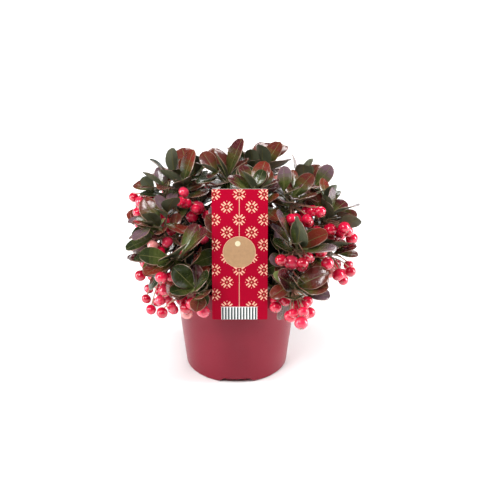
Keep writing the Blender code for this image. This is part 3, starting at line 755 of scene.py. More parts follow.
def grow_fruit(mass, space, number, loose):
    """Tries one fruit of the cluster on the mass's fruit side, with open air before it."""
    sprig, rng = mass.sprig, mass.rng
    outward, across = from_bearing(sprig.fruit_side), from_bearing(sprig.fruit_side + 90)
    place = number - (sprig.fruits - 1) / 2
    root, _ = along(mass.twigs[0].points, rng.uniform(*FRUIT_ROOTS))
    radius = FRUIT_RADIUS * (1 + mass.jitter(FRUIT_VARIATION))
    drop = FRUIT_DROP + FRUIT_STAGGER * (number % 2) + mass.jitter(loose)
    centre = root + outward * (FRUIT_REACH + mass.jitter(loose)) - UP * drop
    centre += across * (place * FRUIT_PITCH + mass.jitter(loose))
    if not hang_fruit(mass, space, root, centre, radius, GAP):
        return False
    open_way = [centre, centre + (outward + UP * FRUIT_LIGHT_RISE) * FRUIT_LIGHT]
    space.add(mass.name, "light", tube(open_way, [radius * FRUIT_LIGHT_SHARE] * 2, 4))
    return True


def grow_fruits(mass, space):
    for number in range(mass.sprig.fruits):
        for attempt in range(FRUIT_TRIES):
            loose = FRUIT_LOOSENESS * (1 + FRUIT_LOOSENING * attempt / FRUIT_TRIES)
            if grow_fruit(mass, space, number, loose):
                break


def hang_beside(mass, space):
    """Tries one more fruit close beside one of the mass's own, on a stalk from the same place."""
    neighbour = mass.rng.choice(mass.fruits)
    radius = FRUIT_RADIUS * mass.rng.uniform(*CLUSTER_FRUIT_SIZES)
    aside = Vector((mass.jitter(1), mass.jitter(1), mass.rng.uniform(*CLUSTER_DROP)))
    way = (from_bearing(mass.sprig.fruit_side) * CLUSTER_OUTWARD + aside).normalized()
    centre = neighbour.centre + way * (neighbour.radius + radius + GAP * 2)
    return hang_fruit(mass, space, neighbour.pedicel[0], centre, radius, GAP / 2, ("leaf",))


def leaf_spread(fraction, spreads):
    """How far a leaf leans out from its twig: least at the tip, and most from the twig's middle down."""
    least, most = spreads
    return least + (most - least) * min(1.0, (1 - fraction) / 0.5)


def leaf_ring(twig, turn, leaves):
    """The slots of a twig's leaves, each given as its place, spread and share, a golden angle apart."""
    return [
        (twig, fraction, turn + GOLDEN_ANGLE * number, spread, leaf_share)
        for number, (fraction, spread, leaf_share) in enumerate(leaves)
    ]


def leaf_slots(mass):
    """Each leaf's twig, place along it, bearing about it, spread from it and size, the furthest first."""
    shares = [1.0] * LARGE_AXIS_LEAVES + [SMALL_AXIS_LEAF_SHARE] * len(AXIS_LEAVES)
    leaves = [
        (place, leaf_spread(place, AXIS_LEAF_SPREAD), leaf_share)
        for place, leaf_share in zip(AXIS_LEAVES, shares)
    ]
    slots = leaf_ring(0, mass.rng.uniform(0, 360), leaves)
    leaves = [(place, leaf_spread(place, SIDE_LEAF_SPREAD), SIDE_LEAF_SHARE) for place in SIDE_LEAVES]
    for twig in range(1, len(mass.twigs)):
        slots += leaf_ring(twig, mass.rng.uniform(0, 360), leaves)
    return sorted(slots, key=lambda slot: -slot[1])


def tried_leaf(mass, slot, loose):
    """The slot's leaf, turned, tilted and shortened the more, the looser it is."""
    twig, fraction, angle, spread, leaf_share = slot
    root, ahead = along(mass.twigs[twig].points if twig >= 0 else mass.limb, fraction)
    tilt, more_tilt = LEAF_TILT_VARIATION
    turn, more_turn = LEAF_TURN_VARIATION
    tilt = spread + mass.jitter(tilt + more_tilt * loose)
    direction = turned_from(ahead, tilt, angle + mass.jitter(turn + more_turn * loose))
    direction = (direction + from_bearing(mass.sprig.bearing) * LEAF_OUTWARD).normalized()
    size = mass.sprig.leaf * leaf_share * (1 + mass.jitter(LEAF_VARIATION)) * (1 - LEAF_SHORTENING * loose)
    sway = Vector((mass.jitter(LEAF_FACING_VARIATION), mass.jitter(LEAF_FACING_VARIATION), 0))
    facing = (UP * LEAF_FACES_UP + ahead + mass.axis * LEAF_FACES_AXIS + sway).normalized()
    placed = leaf_frame(root - direction * LEAF_SINK, direction, facing)
    return Leaf(placed, size, LEAF_FOLD + mass.jitter(LEAF_FOLD_VARIATION), twig)


def grow_leaf(mass, slot, space, tries=LEAF_TRIES, **room):
    """Tries the slot's leaf again and again, each time looser, until it fits."""
    for attempt in range(tries):
        leaf = tried_leaf(mass, slot, attempt / tries)
        guard = leaf_guard(leaf)
        if not keeps_space(mass, guard[0], **room) or space.blocked(guard, mass.name):
            continue
        blade = leaf_guard(leaf, BLADE_START, BLADE_ROOM)
        if space.blocked(blade, mass.name, ("twig", "fruit", "stalk", "blade", "light")):
            continue
        mass.leaves.append(leaf)
        space.add(mass.name, "leaf", leaf_solid(leaf))
        space.add(mass.name, "blade", leaf_guard(leaf, BLADE_START, BLADE_ROOM / 2))
        return


def grow_in_turn(masses, slots, space, **room):
    """Grows one leaf of each mass in turn, so that no mass takes its neighbours' room."""
    for number in range(max(map(len, slots.values()))):
        for mass in masses:
            if number < len(slots[mass.name]):
                grow_leaf(mass, slots[mass.name][number], space, **room)


def finer_twigs(mass, space):
    """Short twigs between the first ones, and the slots of their leaves and of young and inner leaves."""
    first = len(mass.twigs)
    for place in FINER_TWIG_PLACES:
        root, ahead = along(mass.twigs[0].points, place)
        turn = mass.rng.uniform(0, 360)
        for attempt in range(TWIG_TRIES):
            angle = turn + attempt * TWIG_TURN_PER_TRY
            if side_twig(mass, space, root, ahead, angle, FINER_TWIG_LENGTH, FINER_TWIG_RADII):
                break
    slots = []
    side = [(*leaf, FINER_LEAF_SHARE) for leaf in FINER_TWIG_LEAVES]
    for twig in range(first, len(mass.twigs)):
        slots += leaf_ring(twig, mass.rng.uniform(0, 360), side)
    young = [(YOUNG_LEAF_PLACE, spread, YOUNG_LEAF_SHARE) for spread in YOUNG_LEAF_SPREADS]
    inner = [(fraction, INNER_LEAF_SPREAD, INNER_LEAF_SHARE) for fraction in INNER_LEAVES]
    turn = mass.rng.uniform(0, 360)
    return slots + leaf_ring(0, turn, young) + leaf_ring(0, turn, inner)


def stem_slots(mass):
    """Slots of leaves down the stem from its tip, which fill the inside of the crown."""
    count = int((1 - STEM_LEAF_FIRST) / STEM_LEAF_STEP)
    places = [1 - STEM_LEAF_STEP * (number + 0.5) for number in range(count)]
    leaves = [(place, STEM_LEAF_SPREAD, STEM_LEAF_SHARE) for place in places]
    return leaf_ring(-1, mass.rng.uniform(0, 360), leaves)


def made_obstacles():
    """The pot, the card, the room in front of the card and the clip, which foliage keeps clear of."""
    pot = turned(pot_profile(), POT_SIDES)
    pot_solid = ([v.co.copy() for v in pot.verts], [tuple(v.index for v in f.verts) for f in pot.faces])
    pot.free()
    placed = card_frame()
    room = ROOM_ROUND_CARD
    half = CARD_WIDTH / 2 + room
    verts, faces = box_solid((-half, -ROOM_BEFORE_CARD, -room), (half, room, CARD_HEIGHT + room))
    card = ([placed @ v for v in verts], faces)
    clip_low = (CARD_FOOT.x - CLIP_WIDTH / 2, card_back(CLIP_BEND) - room, CLIP_TAIL)
    clip_high = (CARD_FOOT.x + CLIP_WIDTH / 2, CLIP_INSIDE + CLIP_THICKNESS + room, CLIP_TOP + room)
    return [pot_solid, card, box_solid(clip_low, clip_high)]


def add_walls(space):
    """Walls on the sides and top of the solids' box, which the finer growth keeps inside."""
    low, high = (Vector(corner) for corner in SOLIDS_BOX)
    low += Vector((BOX_ROOM, BOX_ROOM, 0))
    high -= Vector((BOX_ROOM, BOX_ROOM, BOX_ROOM))
    for axis in range(3):
        for edge, outer in ((low, low[axis] - BOX_WALL), (high, high[axis] + BOX_WALL)):
            if axis == 2 and edge is low:
                continue
            one, two = low.copy(), high.copy()
            one[axis], two[axis] = sorted((edge[axis], outer))
            space.add("", "made", box_solid(one, two))


@functools.cache
def grown_plant():
    """Grows every mass by the solids' rule, and then carries each on to finer twigs, leaves and fruit."""
    space = Space()
    for solid in made_obstacles():
        space.add("", "made", solid)
    masses = [Mass(sprig) for sprig in SPRIGS]
    for mass in masses:
        mass.others = [other.heart for other in masses if other is not mass]
        grow_limb(mass)
        space.add(mass.name, "limb", limb_solid(mass, STEM_ROOM))
    for mass in masses:
        grow_twigs(mass, space)
    for mass in masses:
        grow_fruits(mass, space)
    grow_in_turn(masses, {mass.name: leaf_slots(mass) for mass in masses}, space)

    add_walls(space)
    for mass in masses:
        mass.rng = random.Random(f"{mass.name}, carried on")
        for _ in range(round(len(mass.fruits) * CLUSTER_FRUITS)):
            for _ in range(CLUSTER_TRIES):
                if hang_beside(mass, space):
                    break
    slots = {mass.name: finer_twigs(mass, space) for mass in masses}
    grow_in_turn(masses, slots, space, tries=FINER_TRIES, space_share=FINER_SPACE)
    slots = {mass.name: stem_slots(mass) for mass in masses}
    room = {"space_share": STEM_LEAF_SPACE, "furthest": STEM_LEAF_REACH}
    grow_in_turn(masses, slots, space, tries=FINER_TRIES, **room)
    return masses


# Meshes and Geometry Nodes


def plain_mesh(name, bm, smooth=None):
    """Makes the edited mesh a plain one. Edges over the smooth angle, if one is given, stay sharp."""
    mesh = bpy.data.meshes.new(name)
    bm.to_mesh(mesh)
    bm.free()
    if smooth is not None:
        shade(mesh, smooth)
    return mesh


def shade(mesh, angle):
    mesh.shade_smooth()
    mesh.set_sharp_from_angle(angle=math.radians(angle))


def linked(obj):
    bpy.context.scene.collection.objects.link(obj)
    return obj


def add_object(name, bm, materials=(), smooth=None):
    mesh = plain_mesh(name, bm, smooth)
    for material in materials:
        mesh.materials.append(material)
    return linked(bpy.data.objects.new(name, mesh))


def bmesh_from(*solids):
    """The solids side by side in one mesh, with their faces pointing out."""
    bm = bmesh.new()
    for verts, faces in solids:
        placed = [bm.verts.new(v) for v in verts]
        for face in faces:
            bm.faces.new([placed[i] for i in face])
    bmesh.ops.recalc_face_normals(bm, faces=bm.faces)
    return bm


def turned(profile, sides):
    """The solid that a line of (radius, height) sweeps about the Z axis. Its ends are points of the axis."""
    bm = bmesh.new()
    turns = [math.tau * k / sides for k in range(sides)]
    rings = []
    for radius, height in profile:
        if radius:
            spots = [(radius * math.cos(turn), radius * math.sin(turn), height) for turn in turns]
            rings.append([bm.verts.new(spot) for spot in spots])
        else:
            rings.append([bm.verts.new((0, 0, height))] * sides)
    for low, high in zip(rings, rings[1:]):
        for k in range(sides):
            corners = (low[k - 1], low[k], high[k], high[k - 1])
            bm.faces.new(dict.fromkeys(corners))
    bm.verts.index_update()
    return bm


def make_plain(obj):
    """Turns what the object's modifiers show into its own mesh."""
    graph = bpy.context.evaluated_depsgraph_get()
    mesh = bpy.data.meshes.new_from_object(obj.evaluated_get(graph), depsgraph=graph)
    if not mesh.polygons:
        raise RuntimeError(f"{obj.name} came out with no faces")
    obj.modifiers.clear()
    obj.data = mesh
    mesh.name = obj.name


def remove_objects(*objects):
    for obj in objects:
        bpy.data.objects.remove(obj, do_unlink=True)


def new_tree(name, inputs):
    """A Geometry Nodes tree with these inputs, each given as its name, socket type and default."""
    tree = bpy.data.node_groups.new(name, "GeometryNodeTree")
    tree.interface.new_socket("Geometry", in_out="INPUT", socket_type="NodeSocketGeometry")
    for label, kind, default in inputs:
        socket = tree.interface.new_socket(label, in_out="INPUT", socket_type=kind)
        if default is not None:
            socket.default_value = default
    tree.interface.new_socket("Geometry", in_out="OUTPUT", socket_type="NodeSocketGeometry")
    return tree, tree.nodes.new("NodeGroupInput").outputs, tree.nodes.new("NodeGroupOutput").inputs


def feed(tree, socket, value):
    """Links the value to the socket if it is one itself, and else sets it."""
    if isinstance(value, bpy.types.NodeSocket):
        tree.links.new(value, socket)
    else:
        socket.default_value = value


def node(tree, kind, values=(), **settings):
    """Adds a node with these settings, and feeds its inputs, each told by its name or number."""
    added = tree.nodes.new(kind)
    for name, value in settings.items():
        setattr(added, name, value)
    for key, value in dict(values).items():
        feed(tree, added.inputs[key], value)
    return added


def maths(tree, operation, one, two):
    return node(tree, "ShaderNodeMath", {0: one, 1: two}, operation=operation).outputs[0]


def attribute(tree, name, kind):
    added = node(tree, "GeometryNodeInputNamedAttribute", {"Name": name}, data_type=kind)
    return added.outputs["Attribute"]


def stand_shapes(tree, points, entry, values):
    """Stands a shape of the tree's collection on each point."""
    links = {"Collection": entry["Shapes"], "Separate Children": True, "Reset Children": True}
    shapes = node(tree, "GeometryNodeCollectionInfo", links).outputs["Instances"]
    links = {"Points": points, "Instance": shapes, "Pick Instance": True, **values}
    return node(tree, "GeometryNodeInstanceOnPoints", links).outputs["Instances"]


def finish_in_zones(tree, geometry, entry, result, zones):
    """Ends the tree: real faces, and on those of each zone number that zone's material."""
    geometry = node(tree, "GeometryNodeRealizeInstances", {"Geometry": geometry}).outputs["Geometry"]
    zone = attribute(tree, "zone", "INT")
    for number, label in enumerate(zones):
        same = node(tree, "FunctionNodeCompare", {2: zone, 3: number}, data_type="INT", operation="EQUAL")
        links = {"Geometry": geometry, "Selection": same.outputs["Result"], "Material": entry[label]}
        geometry = node(tree, "GeometryNodeSetMaterial", links).outputs["Geometry"]
    tree.links.new(geometry, result["Geometry"])
    return tree


def standing_tree(name, zones):
    """Stands a shape of a collection on each point, by the point's shape, turn and size."""
    materials = [(zone, "NodeSocketMaterial", None) for zone in zones]
    tree, entry, result = new_tree(name, [("Shapes", "NodeSocketCollection", None), *materials])
    values = {
        "Instance Index": attribute(tree, "shape", "INT"),
        "Rotation": attribute(tree, "turn", "QUATERNION"),
        "Scale": attribute(tree, "size", "FLOAT"),
    }
    stood = stand_shapes(tree, entry["Geometry"], entry, values)
    return finish_in_zones(tree, stood, entry, result, zones)


def scatter_tree():
    """Strews shapes over a surface, turned at random and of random sizes."""
    inputs = [
        ("Shapes", "NodeSocketCollection", None),
        ("Density", "NodeSocketFloat", 1e5),
        ("Size", "NodeSocketFloat", 0.002),
        ("Seed", "NodeSocketInt", 4),
        ("Crumb", "NodeSocketMaterial", None),
    ]
    tree, entry, result = new_tree("Strewn crumbs", inputs)
    seed = {"Seed": entry["Seed"]}
    spots = {"Mesh": entry["Geometry"], "Density": entry["Density"], **seed}
    strewn = node(tree, "GeometryNodeDistributePointsOnFaces", spots).outputs["Points"]
    turn = node(tree, "FunctionNodeRandomValue", {1: (math.tau,) * 3, **seed}, data_type="FLOAT_VECTOR")
    size = node(tree, "FunctionNodeRandomValue", {2: SMALLEST_CRUMB, **seed}, data_type="FLOAT")
    scale = maths(tree, "MULTIPLY", size.outputs[1], entry["Size"])
    stood = stand_shapes(tree, strewn, entry, {"Rotation": turn.outputs[0], "Scale": scale})
    return finish_in_zones(tree, stood, entry, result, ("Crumb",))


def star_tree():
    """Sets a shape on a staggered grid: wide rows, and between them rows with one shape fewer."""
    inputs = [
        ("Star", "NodeSocketObject", None),
        ("Columns", "NodeSocketInt", 3),
        ("Rows", "NodeSocketInt", 6),
        ("Pitch", "NodeSocketFloat", 0.02),
        ("Row pitch", "NodeSocketFloat", 0.02),
        ("Petal", "NodeSocketMaterial", None),
        ("Middle", "NodeSocketMaterial", None),
    ]
    tree, entry, result = new_tree("Staggered stars", inputs)
    joined = node(tree, "GeometryNodeJoinGeometry")
    for fewer in (0, 1):
        grid = {}
        for axis, label, pitch in (("X", "Columns", "Pitch"), ("Y", "Rows", "Row pitch")):
            count = maths(tree, "SUBTRACT", entry[label], fewer)
            grid[f"Vertices {axis}"] = count
            grid[f"Size {axis}"] = maths(tree, "MULTIPLY", maths(tree, "SUBTRACT", count, 1), entry[pitch])
        mesh = node(tree, "GeometryNodeMeshGrid", grid).outputs["Mesh"]
        tree.links.new(mesh, joined.inputs["Geometry"])
    star = node(tree, "GeometryNodeObjectInfo", {"Object": entry["Star"], "As Instance": True})
    links = {"Points": joined.outputs["Geometry"], "Instance": star.outputs["Geometry"]}
    stood = node(tree, "GeometryNodeInstanceOnPoints", links).outputs["Instances"]
    return finish_in_zones(tree, stood, entry, result, ("Petal", "Middle"))


def run_tree(obj, tree, values):
    """Runs the tree on the object with these values for its named inputs, and leaves a plain mesh."""
    modifier = obj.modifiers.new(tree.name, "NODES")
    modifier.node_group = tree
    for item in tree.interface.items_tree:
        if item.in_out == "INPUT" and item.name in values:
            modifier[item.identifier] = values[item.name]
    make_plain(obj)


def stand_from(obj, tree, shapes, values):
    """Runs the tree on the object with these meshes as its shapes, which no scene holds."""
    collection = bpy.data.collections.new(f"{obj.name}_shapes")
    for mesh in shapes:
        collection.objects.link(bpy.data.objects.new(mesh.name, mesh))
    run_tree(obj, tree, {"Shapes": collection, **values})
    remove_objects(*collection.objects)
    bpy.data.collections.remove(collection)


def stand_about(name, tree, shapes, places, materials):
    """Stands copies of the meshes at the places, each a shape number, a turn, a size and a point."""
    mesh = bpy.data.meshes.new(name)
    mesh.from_pydata([point for *_, point in places], [], [])
    for column, (label, kind) in enumerate((("shape", "INT"), ("turn", "QUATERNION"), ("size", "FLOAT"))):
        values = mesh.attributes.new(label, kind, "POINT").data
        for item, place in zip(values, places):
            item.value = place[column]
    obj = linked(bpy.data.objects.new(name, mesh))
    stand_from(obj, tree, shapes, materials)
    return obj


def dress(obj, nodes):
    """Rides the piece on the plant's one body, in the place of these nodes of the solids."""
    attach(obj, "root")
    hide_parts(*nodes)


def foliage_nodes():
    return [f"foliage_{sprig.name}" for sprig in SPRIGS]


# Finishes


class Finish(NamedTuple):
    """A finish in two colours that a noise mixes, with a grain that roughens and raises the surface."""

    colour: tuple
    second: tuple
    patch: float
    grain: float
    roughness: float
    roughness_spread: float = 0.06
    height: float = 0.0
    coat: float = 0.0
    coat_roughness: float = 0.1
    subsurface: float = 0.0
    subsurface_depth: float = 0.001
    specular: float = 0.5
    stretch: tuple = (1, 1, 1)
    contrast: float = 1.0


def noise_field(tree, place, size, detail=4.0):
    """Noise with features of this size in metres."""
    values = {"Vector": place, "Scale": 1 / size, "Detail": detail}
    return node(tree, "ShaderNodeTexNoise", values).outputs["Fac"]


def ranged(tree, value, low, high, out_low, out_high):
    values = {"Value": value, "From Min": low, "From Max": high, "To Min": out_low, "To Max": out_high}
    return node(tree, "ShaderNodeMapRange", values).outputs["Result"]


def new_material(name, look):
    material = bpy.data.materials.new(name)
    material.use_nodes = True
    material.diffuse_color = (*look.colour, 1)
    tree = material.node_tree
    place = node(tree, "ShaderNodeTexCoord").outputs["Object"]
    if look.stretch != (1, 1, 1):
        place = node(tree, "ShaderNodeMapping", {"Vector": place, "Scale": look.stretch}).outputs["Vector"]
    grain = noise_field(tree, place, look.grain, 6.0)
    edge = 0.5 / (1 + look.contrast)
    patches = ranged(tree, noise_field(tree, place, look.patch), 0.5 - edge, 0.5 + edge, 0, 1)
    colours = {"Factor": patches, 6: (*look.colour, 1), 7: (*look.second, 1)}
    low, high = look.roughness - look.roughness_spread, look.roughness + look.roughness_spread
    values = {
        "Base Color": node(tree, "ShaderNodeMix", colours, data_type="RGBA").outputs[2],
        "Roughness": ranged(tree, grain, 0.3, 0.7, low, high),
        "Specular IOR Level": look.specular,
    }
    if look.height:
        bump = node(tree, "ShaderNodeBump", {"Height": grain, "Distance": look.height, "Strength": 1.0})
        values["Normal"] = bump.outputs["Normal"]
    if look.coat:
        values.update({"Coat Weight": look.coat, "Coat Roughness": look.coat_roughness})
    if look.subsurface:
        values.update({"Subsurface Weight": look.subsurface, "Subsurface Scale": look.subsurface_depth})
    for label, value in values.items():
        feed(tree, tree.nodes["Principled BSDF"].inputs[label], value)
    return material


def lighter(colour, factor):
    return tuple(min(1.0, value * factor) for value in colour)


# Pot and potting mix

LONGEST_CUT = 0.45
POT_CREASE = 38
MIX_CREASE = 60
MIX_SIDES = 90
MIX_RINGS = 30
MIX_FLARE_SHARE = 0.2
MIX_SMOOTH_REACH = 0.012
MIX_LUMPS = ((160, 0.0016), (520, 0.0008))
MIX_TOP_BAND = 0.0025
SMALLEST_CRUMB = 0.25
CRUMB_RELIEF = 0.45
CRUMB_LIGHTNESS = 1.6
CRUMB_SHAPES = 4
CRUMB_NOISE_STEP = 3.1
CM2_IN_M2 = 10000.0
FIBRE_SHAPE = (0.25, 2.2, 0.25)


def pot_inner_radius(height):
    """The pot's inner radius below its collar."""
    outer = BASE_RADIUS + (BODY_TOP_RADIUS - BASE_RADIUS) * height / (POT_HEIGHT - COLLAR_HEIGHT)
    return outer - POT_WALL


def pot_profile():
    """The pot's profile as its solid has it, up the outside and down the inside."""
    collar_foot = POT_HEIGHT - COLLAR_HEIGHT
    ledge = collar_foot + POT_WALL
    turns = [math.radians(20 * i) for i in range(1, 5)]
    rounding = [
        (BASE_RADIUS - FOOT_ROUNDING * (1 - math.sin(angle)), FOOT_ROUNDING * (1 - math.cos(angle)))
        for angle in turns
    ]
    return [
        (0, 0),
        (BASE_RADIUS - FOOT_ROUNDING, 0),
        *rounding,
        (BODY_TOP_RADIUS, collar_foot),
        (COLLAR_FOOT_RADIUS - BEVEL, collar_foot),
        (COLLAR_FOOT_RADIUS, collar_foot + BEVEL),
        (RIM_RADIUS, POT_HEIGHT - 2 * BEVEL),
        (RIM_RADIUS - BEVEL, POT_HEIGHT),
        (RIM_RADIUS - LIP + BEVEL, POT_HEIGHT),
        (RIM_RADIUS - LIP, POT_HEIGHT - 2 * BEVEL),
        (COLLAR_FOOT_RADIUS - POT_WALL, ledge),
        (pot_inner_radius(ledge), ledge),
        (pot_inner_radius(FLOOR_HEIGHT), FLOOR_HEIGHT),
        (0, FLOOR_HEIGHT),
    ]


def rounded(profile, radius, steps=4):
    """The profile with each of its inner corners rounded to about this radius."""
    points = [Vector(point) for point in profile]
    line = [points[0]]
    for before, corner, after in zip(points, points[1:], points[2:]):
        back, ahead = before - corner, after - corner
        cut = min(radius, back.length * LONGEST_CUT, ahead.length * LONGEST_CUT)
        start, end = corner + back.normalized() * cut, corner + ahead.normalized() * cut
        for i in range(steps + 1):
            t = i / steps
            line.append(start * (1 - t) ** 2 + corner * (2 * t * (1 - t)) + end * t**2)
    return [tuple(point) for point in (*line, points[-1])]


def notch_cutter(bearing):
    """A wedge that cuts a drain slot into the foot of the wall."""
    turn = Matrix.Rotation(math.radians(bearing), 3, "Z")
    foot, top = NOTCH_FOOT_WIDTH / 2 + NOTCH_SPARE, NOTCH_TOP_WIDTH / 2
    outline = ((foot, -NOTCH_SPARE), (top, NOTCH_HEIGHT), (-top, NOTCH_HEIGHT), (-foot, -NOTCH_SPARE))
    reaches = (BASE_RADIUS - NOTCH_DEPTH, BASE_RADIUS + NOTCH_OVERSHOOT)
    corners = [turn @ Vector((reach, half, height)) for reach in reaches for half, height in outline]
    return add_object("notch_cutter", bmesh_from((corners, slab_faces(4))))


def pot_material(settings):
    # The second colour mixes paler random patches into the red, partly painted sheen.
    look = Finish(
        settings.colour,
        settings.mottle_and_sheen,
        patch=0.030,
        grain=0.0009,
        roughness=settings.roughness,
        roughness_spread=0.05,
        height=0.00003,
        specular=0.2,
        contrast=0.2,
    )
    return new_material("Dusky red plastic", look)


def make_pot(settings):
    bm = turned(rounded(pot_profile(), settings.lip_rounding), settings.sides)
    bmesh.ops.recalc_face_normals(bm, faces=bm.faces)
    pot = add_object("pot_shell", bm, [pot_material(settings)])
    cutters = [notch_cutter(bearing) for bearing in NOTCH_BEARINGS]
    for number, cutter in enumerate(cutters, 1):
        cut = pot.modifiers.new(f"notch_{number}", "BOOLEAN")
        cut.operation = "DIFFERENCE"
        cut.solver = "EXACT"
        cut.object = cutter
    make_plain(pot)
    remove_objects(*cutters)
    shade(pot.data, POT_CREASE)
    dress(pot, ["pot"])


def mix_profile():
    """The body of mix, with its top in rings that the relief can raise."""
    ledge = POT_HEIGHT - COLLAR_HEIGHT + POT_WALL
    top_share = (SOIL_TOP - ledge) / COLLAR_HEIGHT
    flare = top_share * (RIM_RADIUS - COLLAR_FOOT_RADIUS) * MIX_FLARE_SHARE
    top_radius = COLLAR_FOOT_RADIUS - POT_WALL + flare - CLEAR
    return [
        (0, FLOOR_HEIGHT + CLEAR),
        (pot_inner_radius(FLOOR_HEIGHT) - CLEAR, FLOOR_HEIGHT + CLEAR),
        (pot_inner_radius(ledge) - CLEAR, ledge + CLEAR),
        (COLLAR_FOOT_RADIUS - POT_WALL - CLEAR, ledge + CLEAR),
        *((top_radius * (1 - i / MIX_RINGS), SOIL_TOP) for i in range(MIX_RINGS + 1)),
    ]


def mix_look(settings):
    return Finish(
        settings.mix_colour,
        settings.fibre_colour,
        patch=0.0035,
        grain=0.0007,
        roughness=0.92,
        height=0.0004,
        contrast=0.5,
    )


def mix_body(look):
    bm = turned(mix_profile(), MIX_SIDES)
    for vert in bm.verts:
        if vert.co.z > SOIL_TOP - CLEAR:
            near_stem = max(0.0, 1 - math.hypot(vert.co.x, vert.co.y) / MIX_SMOOTH_REACH)
            lumps = sum(noise.noise(vert.co * fineness) * height for fineness, height in MIX_LUMPS)
            vert.co.z += lumps * (1 - near_stem)
    bmesh.ops.recalc_face_normals(bm, faces=bm.faces)
    return add_object("mix_body", bm, [new_material("Damp potting mix", look)], MIX_CREASE)


def mix_crumbs(settings, look, body):
    """Crumbs strewn over the body's top."""
    bm = bmesh.new()
    bm.from_mesh(body.data)
    low = [face for face in bm.faces if face.calc_center_median().z < SOIL_TOP - MIX_TOP_BAND]
    bmesh.ops.delete(bm, geom=low, context="FACES")
    crumbs = add_object("mix_crumbs", bm)
    crumb_look = look._replace(colour=lighter(look.colour, CRUMB_LIGHTNESS))
    values = {
        "Density": settings.crumbs * CM2_IN_M2,
        "Size": settings.crumb_size,
        "Crumb": new_material("Crumbs of mix", crumb_look),
    }
    shapes = [crumb_shape(number) for number in range(CRUMB_SHAPES)]
    stand_from(crumbs, scatter_tree(), shapes, values)
    return crumbs


def make_potting_mix(settings):
    look = mix_look(settings)
    body = mix_body(look)
    crumbs = mix_crumbs(settings, look, body)
    dress(body, ["potting_mix"])
    dress(crumbs, ["potting_mix"])


def crumb_shape(number):
    """A lump of mix, one unit across. The last one is a short fibre."""
    bm = bmesh.new()
    bmesh.ops.create_icosphere(bm, subdivisions=1, radius=0.5)
    aside = Vector((number * CRUMB_NOISE_STEP, 0, 0))
    for vert in bm.verts:
        vert.co *= 1 + CRUMB_RELIEF * noise.noise(vert.co * 2 + aside)
        if number == CRUMB_SHAPES - 1:
            vert.co *= Vector(FIBRE_SHAPE)
    return plain_mesh(f"crumb_{number}", bm)


# Stems and twigs

SCAR_STEP = 1.1
SCAR_HEIGHT = 0.9
BARK_FINENESS = (900, 900, 320)
BARK_CREASE = 60
STOCK_SIDES = 40
STOCK_CREASE = 50
STOCK_HEAD_ANGLES = [7.5 * i for i in range(-3, 12)]
STOCK_FOOT = (0.8, 0.0018)
STOCK_NECK_HEIGHT = 0.0045
STOCK_TOP_SHARE = 0.999
STOCK_LOBES = 5
STOCK_LOBE_DEPTH = 0.07
STOCK_RELIEF = 0.10
STOCK_FINENESS = (500, 500, 220)
STOCK_SLIMMING = 0.05
TWIG_STEPS = 4
TWIG_SIDES = 7
FINE_TWIG_SIDES = 6
TWIG_RELIEF_SHARE = 0.8
STALK_ROOT_SHARE = 0.75
STALK_SWELL = 0.5


def bark_tube(points, radii, sides, relief, ends=None):
    """A tube whose bark stands out in ridges and in a ring below each old leaf scar."""
    verts, faces = tube(points, radii, sides, 0.0, ends)
    for i in range(1, len(points) - 1):
        scar = max(0.0, math.sin(i * SCAR_STEP)) ** 4 * SCAR_HEIGHT
        for k in range(i * sides, (i + 1) * sides):
            vert = verts[k]
            rise = noise.noise(vert * Vector(BARK_FINENESS)) + scar
            verts[k] = points[i] + (vert - points[i]) * (1 + relief * rise)
    return verts, faces


def bark_material(name, colour, second, grain):
    look = Finish(
        colour,
        second,
        patch=0.0035,
        grain=grain,
        roughness=0.62,
        roughness_spread=0.12,
        height=0.00022,
        stretch=(1, 1, 0.35),
        contrast=0.6,
    )
    return new_material(name, look)


def make_main_stem(settings):
    """The woody stock with its flared, lobed foot and its knobbly head."""
    foot = SOIL_TOP + CLEAR
    head = foot + MAIN_STEM_HEIGHT - MAIN_STEM_HEAD
    arc = [
        (MAIN_STEM_HEAD * math.cos(angle), head + MAIN_STEM_HEAD * math.sin(angle))
        for angle in map(math.radians, STOCK_HEAD_ANGLES)
    ]
    foot_share, foot_rise = STOCK_FOOT
    profile = [
        (0, foot),
        (MAIN_STEM_FLARE, foot),
        (MAIN_STEM_FLARE * foot_share, foot + foot_rise),
        (MAIN_STEM_RADIUS, foot + STOCK_NECK_HEIGHT),
        *arc,
        (0, head + MAIN_STEM_HEAD),
    ]
    bm = turned(profile, STOCK_SIDES)
    for vert in bm.verts:
        height = (vert.co.z - foot) / MAIN_STEM_HEIGHT
        if not 0.0 < height < STOCK_TOP_SHARE:
            continue
        angle = math.atan2(vert.co.y, vert.co.x)
        lobes = STOCK_LOBE_DEPTH * math.cos(STOCK_LOBES * angle + 2 * height) * (1 - height)
        rough = STOCK_RELIEF * noise.noise(vert.co * Vector(STOCK_FINENESS))
        vert.co.x *= 1 + lobes + rough - STOCK_SLIMMING
        vert.co.y *= 1 + lobes + rough - STOCK_SLIMMING
    bmesh.ops.recalc_face_normals(bm, faces=bm.faces)
    material = bark_material("Old bark", settings.bark, settings.bark_ridge, 0.0011)
    dress(add_object("stock", bm, [material], STOCK_CREASE), ["main_stem"])


def make_stems(settings):
    solids = []
    for mass in grown_plant():
        line = limb_line(mass, settings.steps)
        radii = [limb_radius(i / settings.steps) for i in range(settings.steps + 1)]
        solids.append(bark_tube(line, radii, settings.sides, settings.relief, mass.limb_ends))
    material = bark_material("Stem bark", settings.bark, settings.bark_ridge, 0.0007)
    stems = add_object("stems", bmesh_from(*solids), [material], BARK_CREASE)
    dress(stems, [f"stem_{sprig.name}" for sprig in SPRIGS])


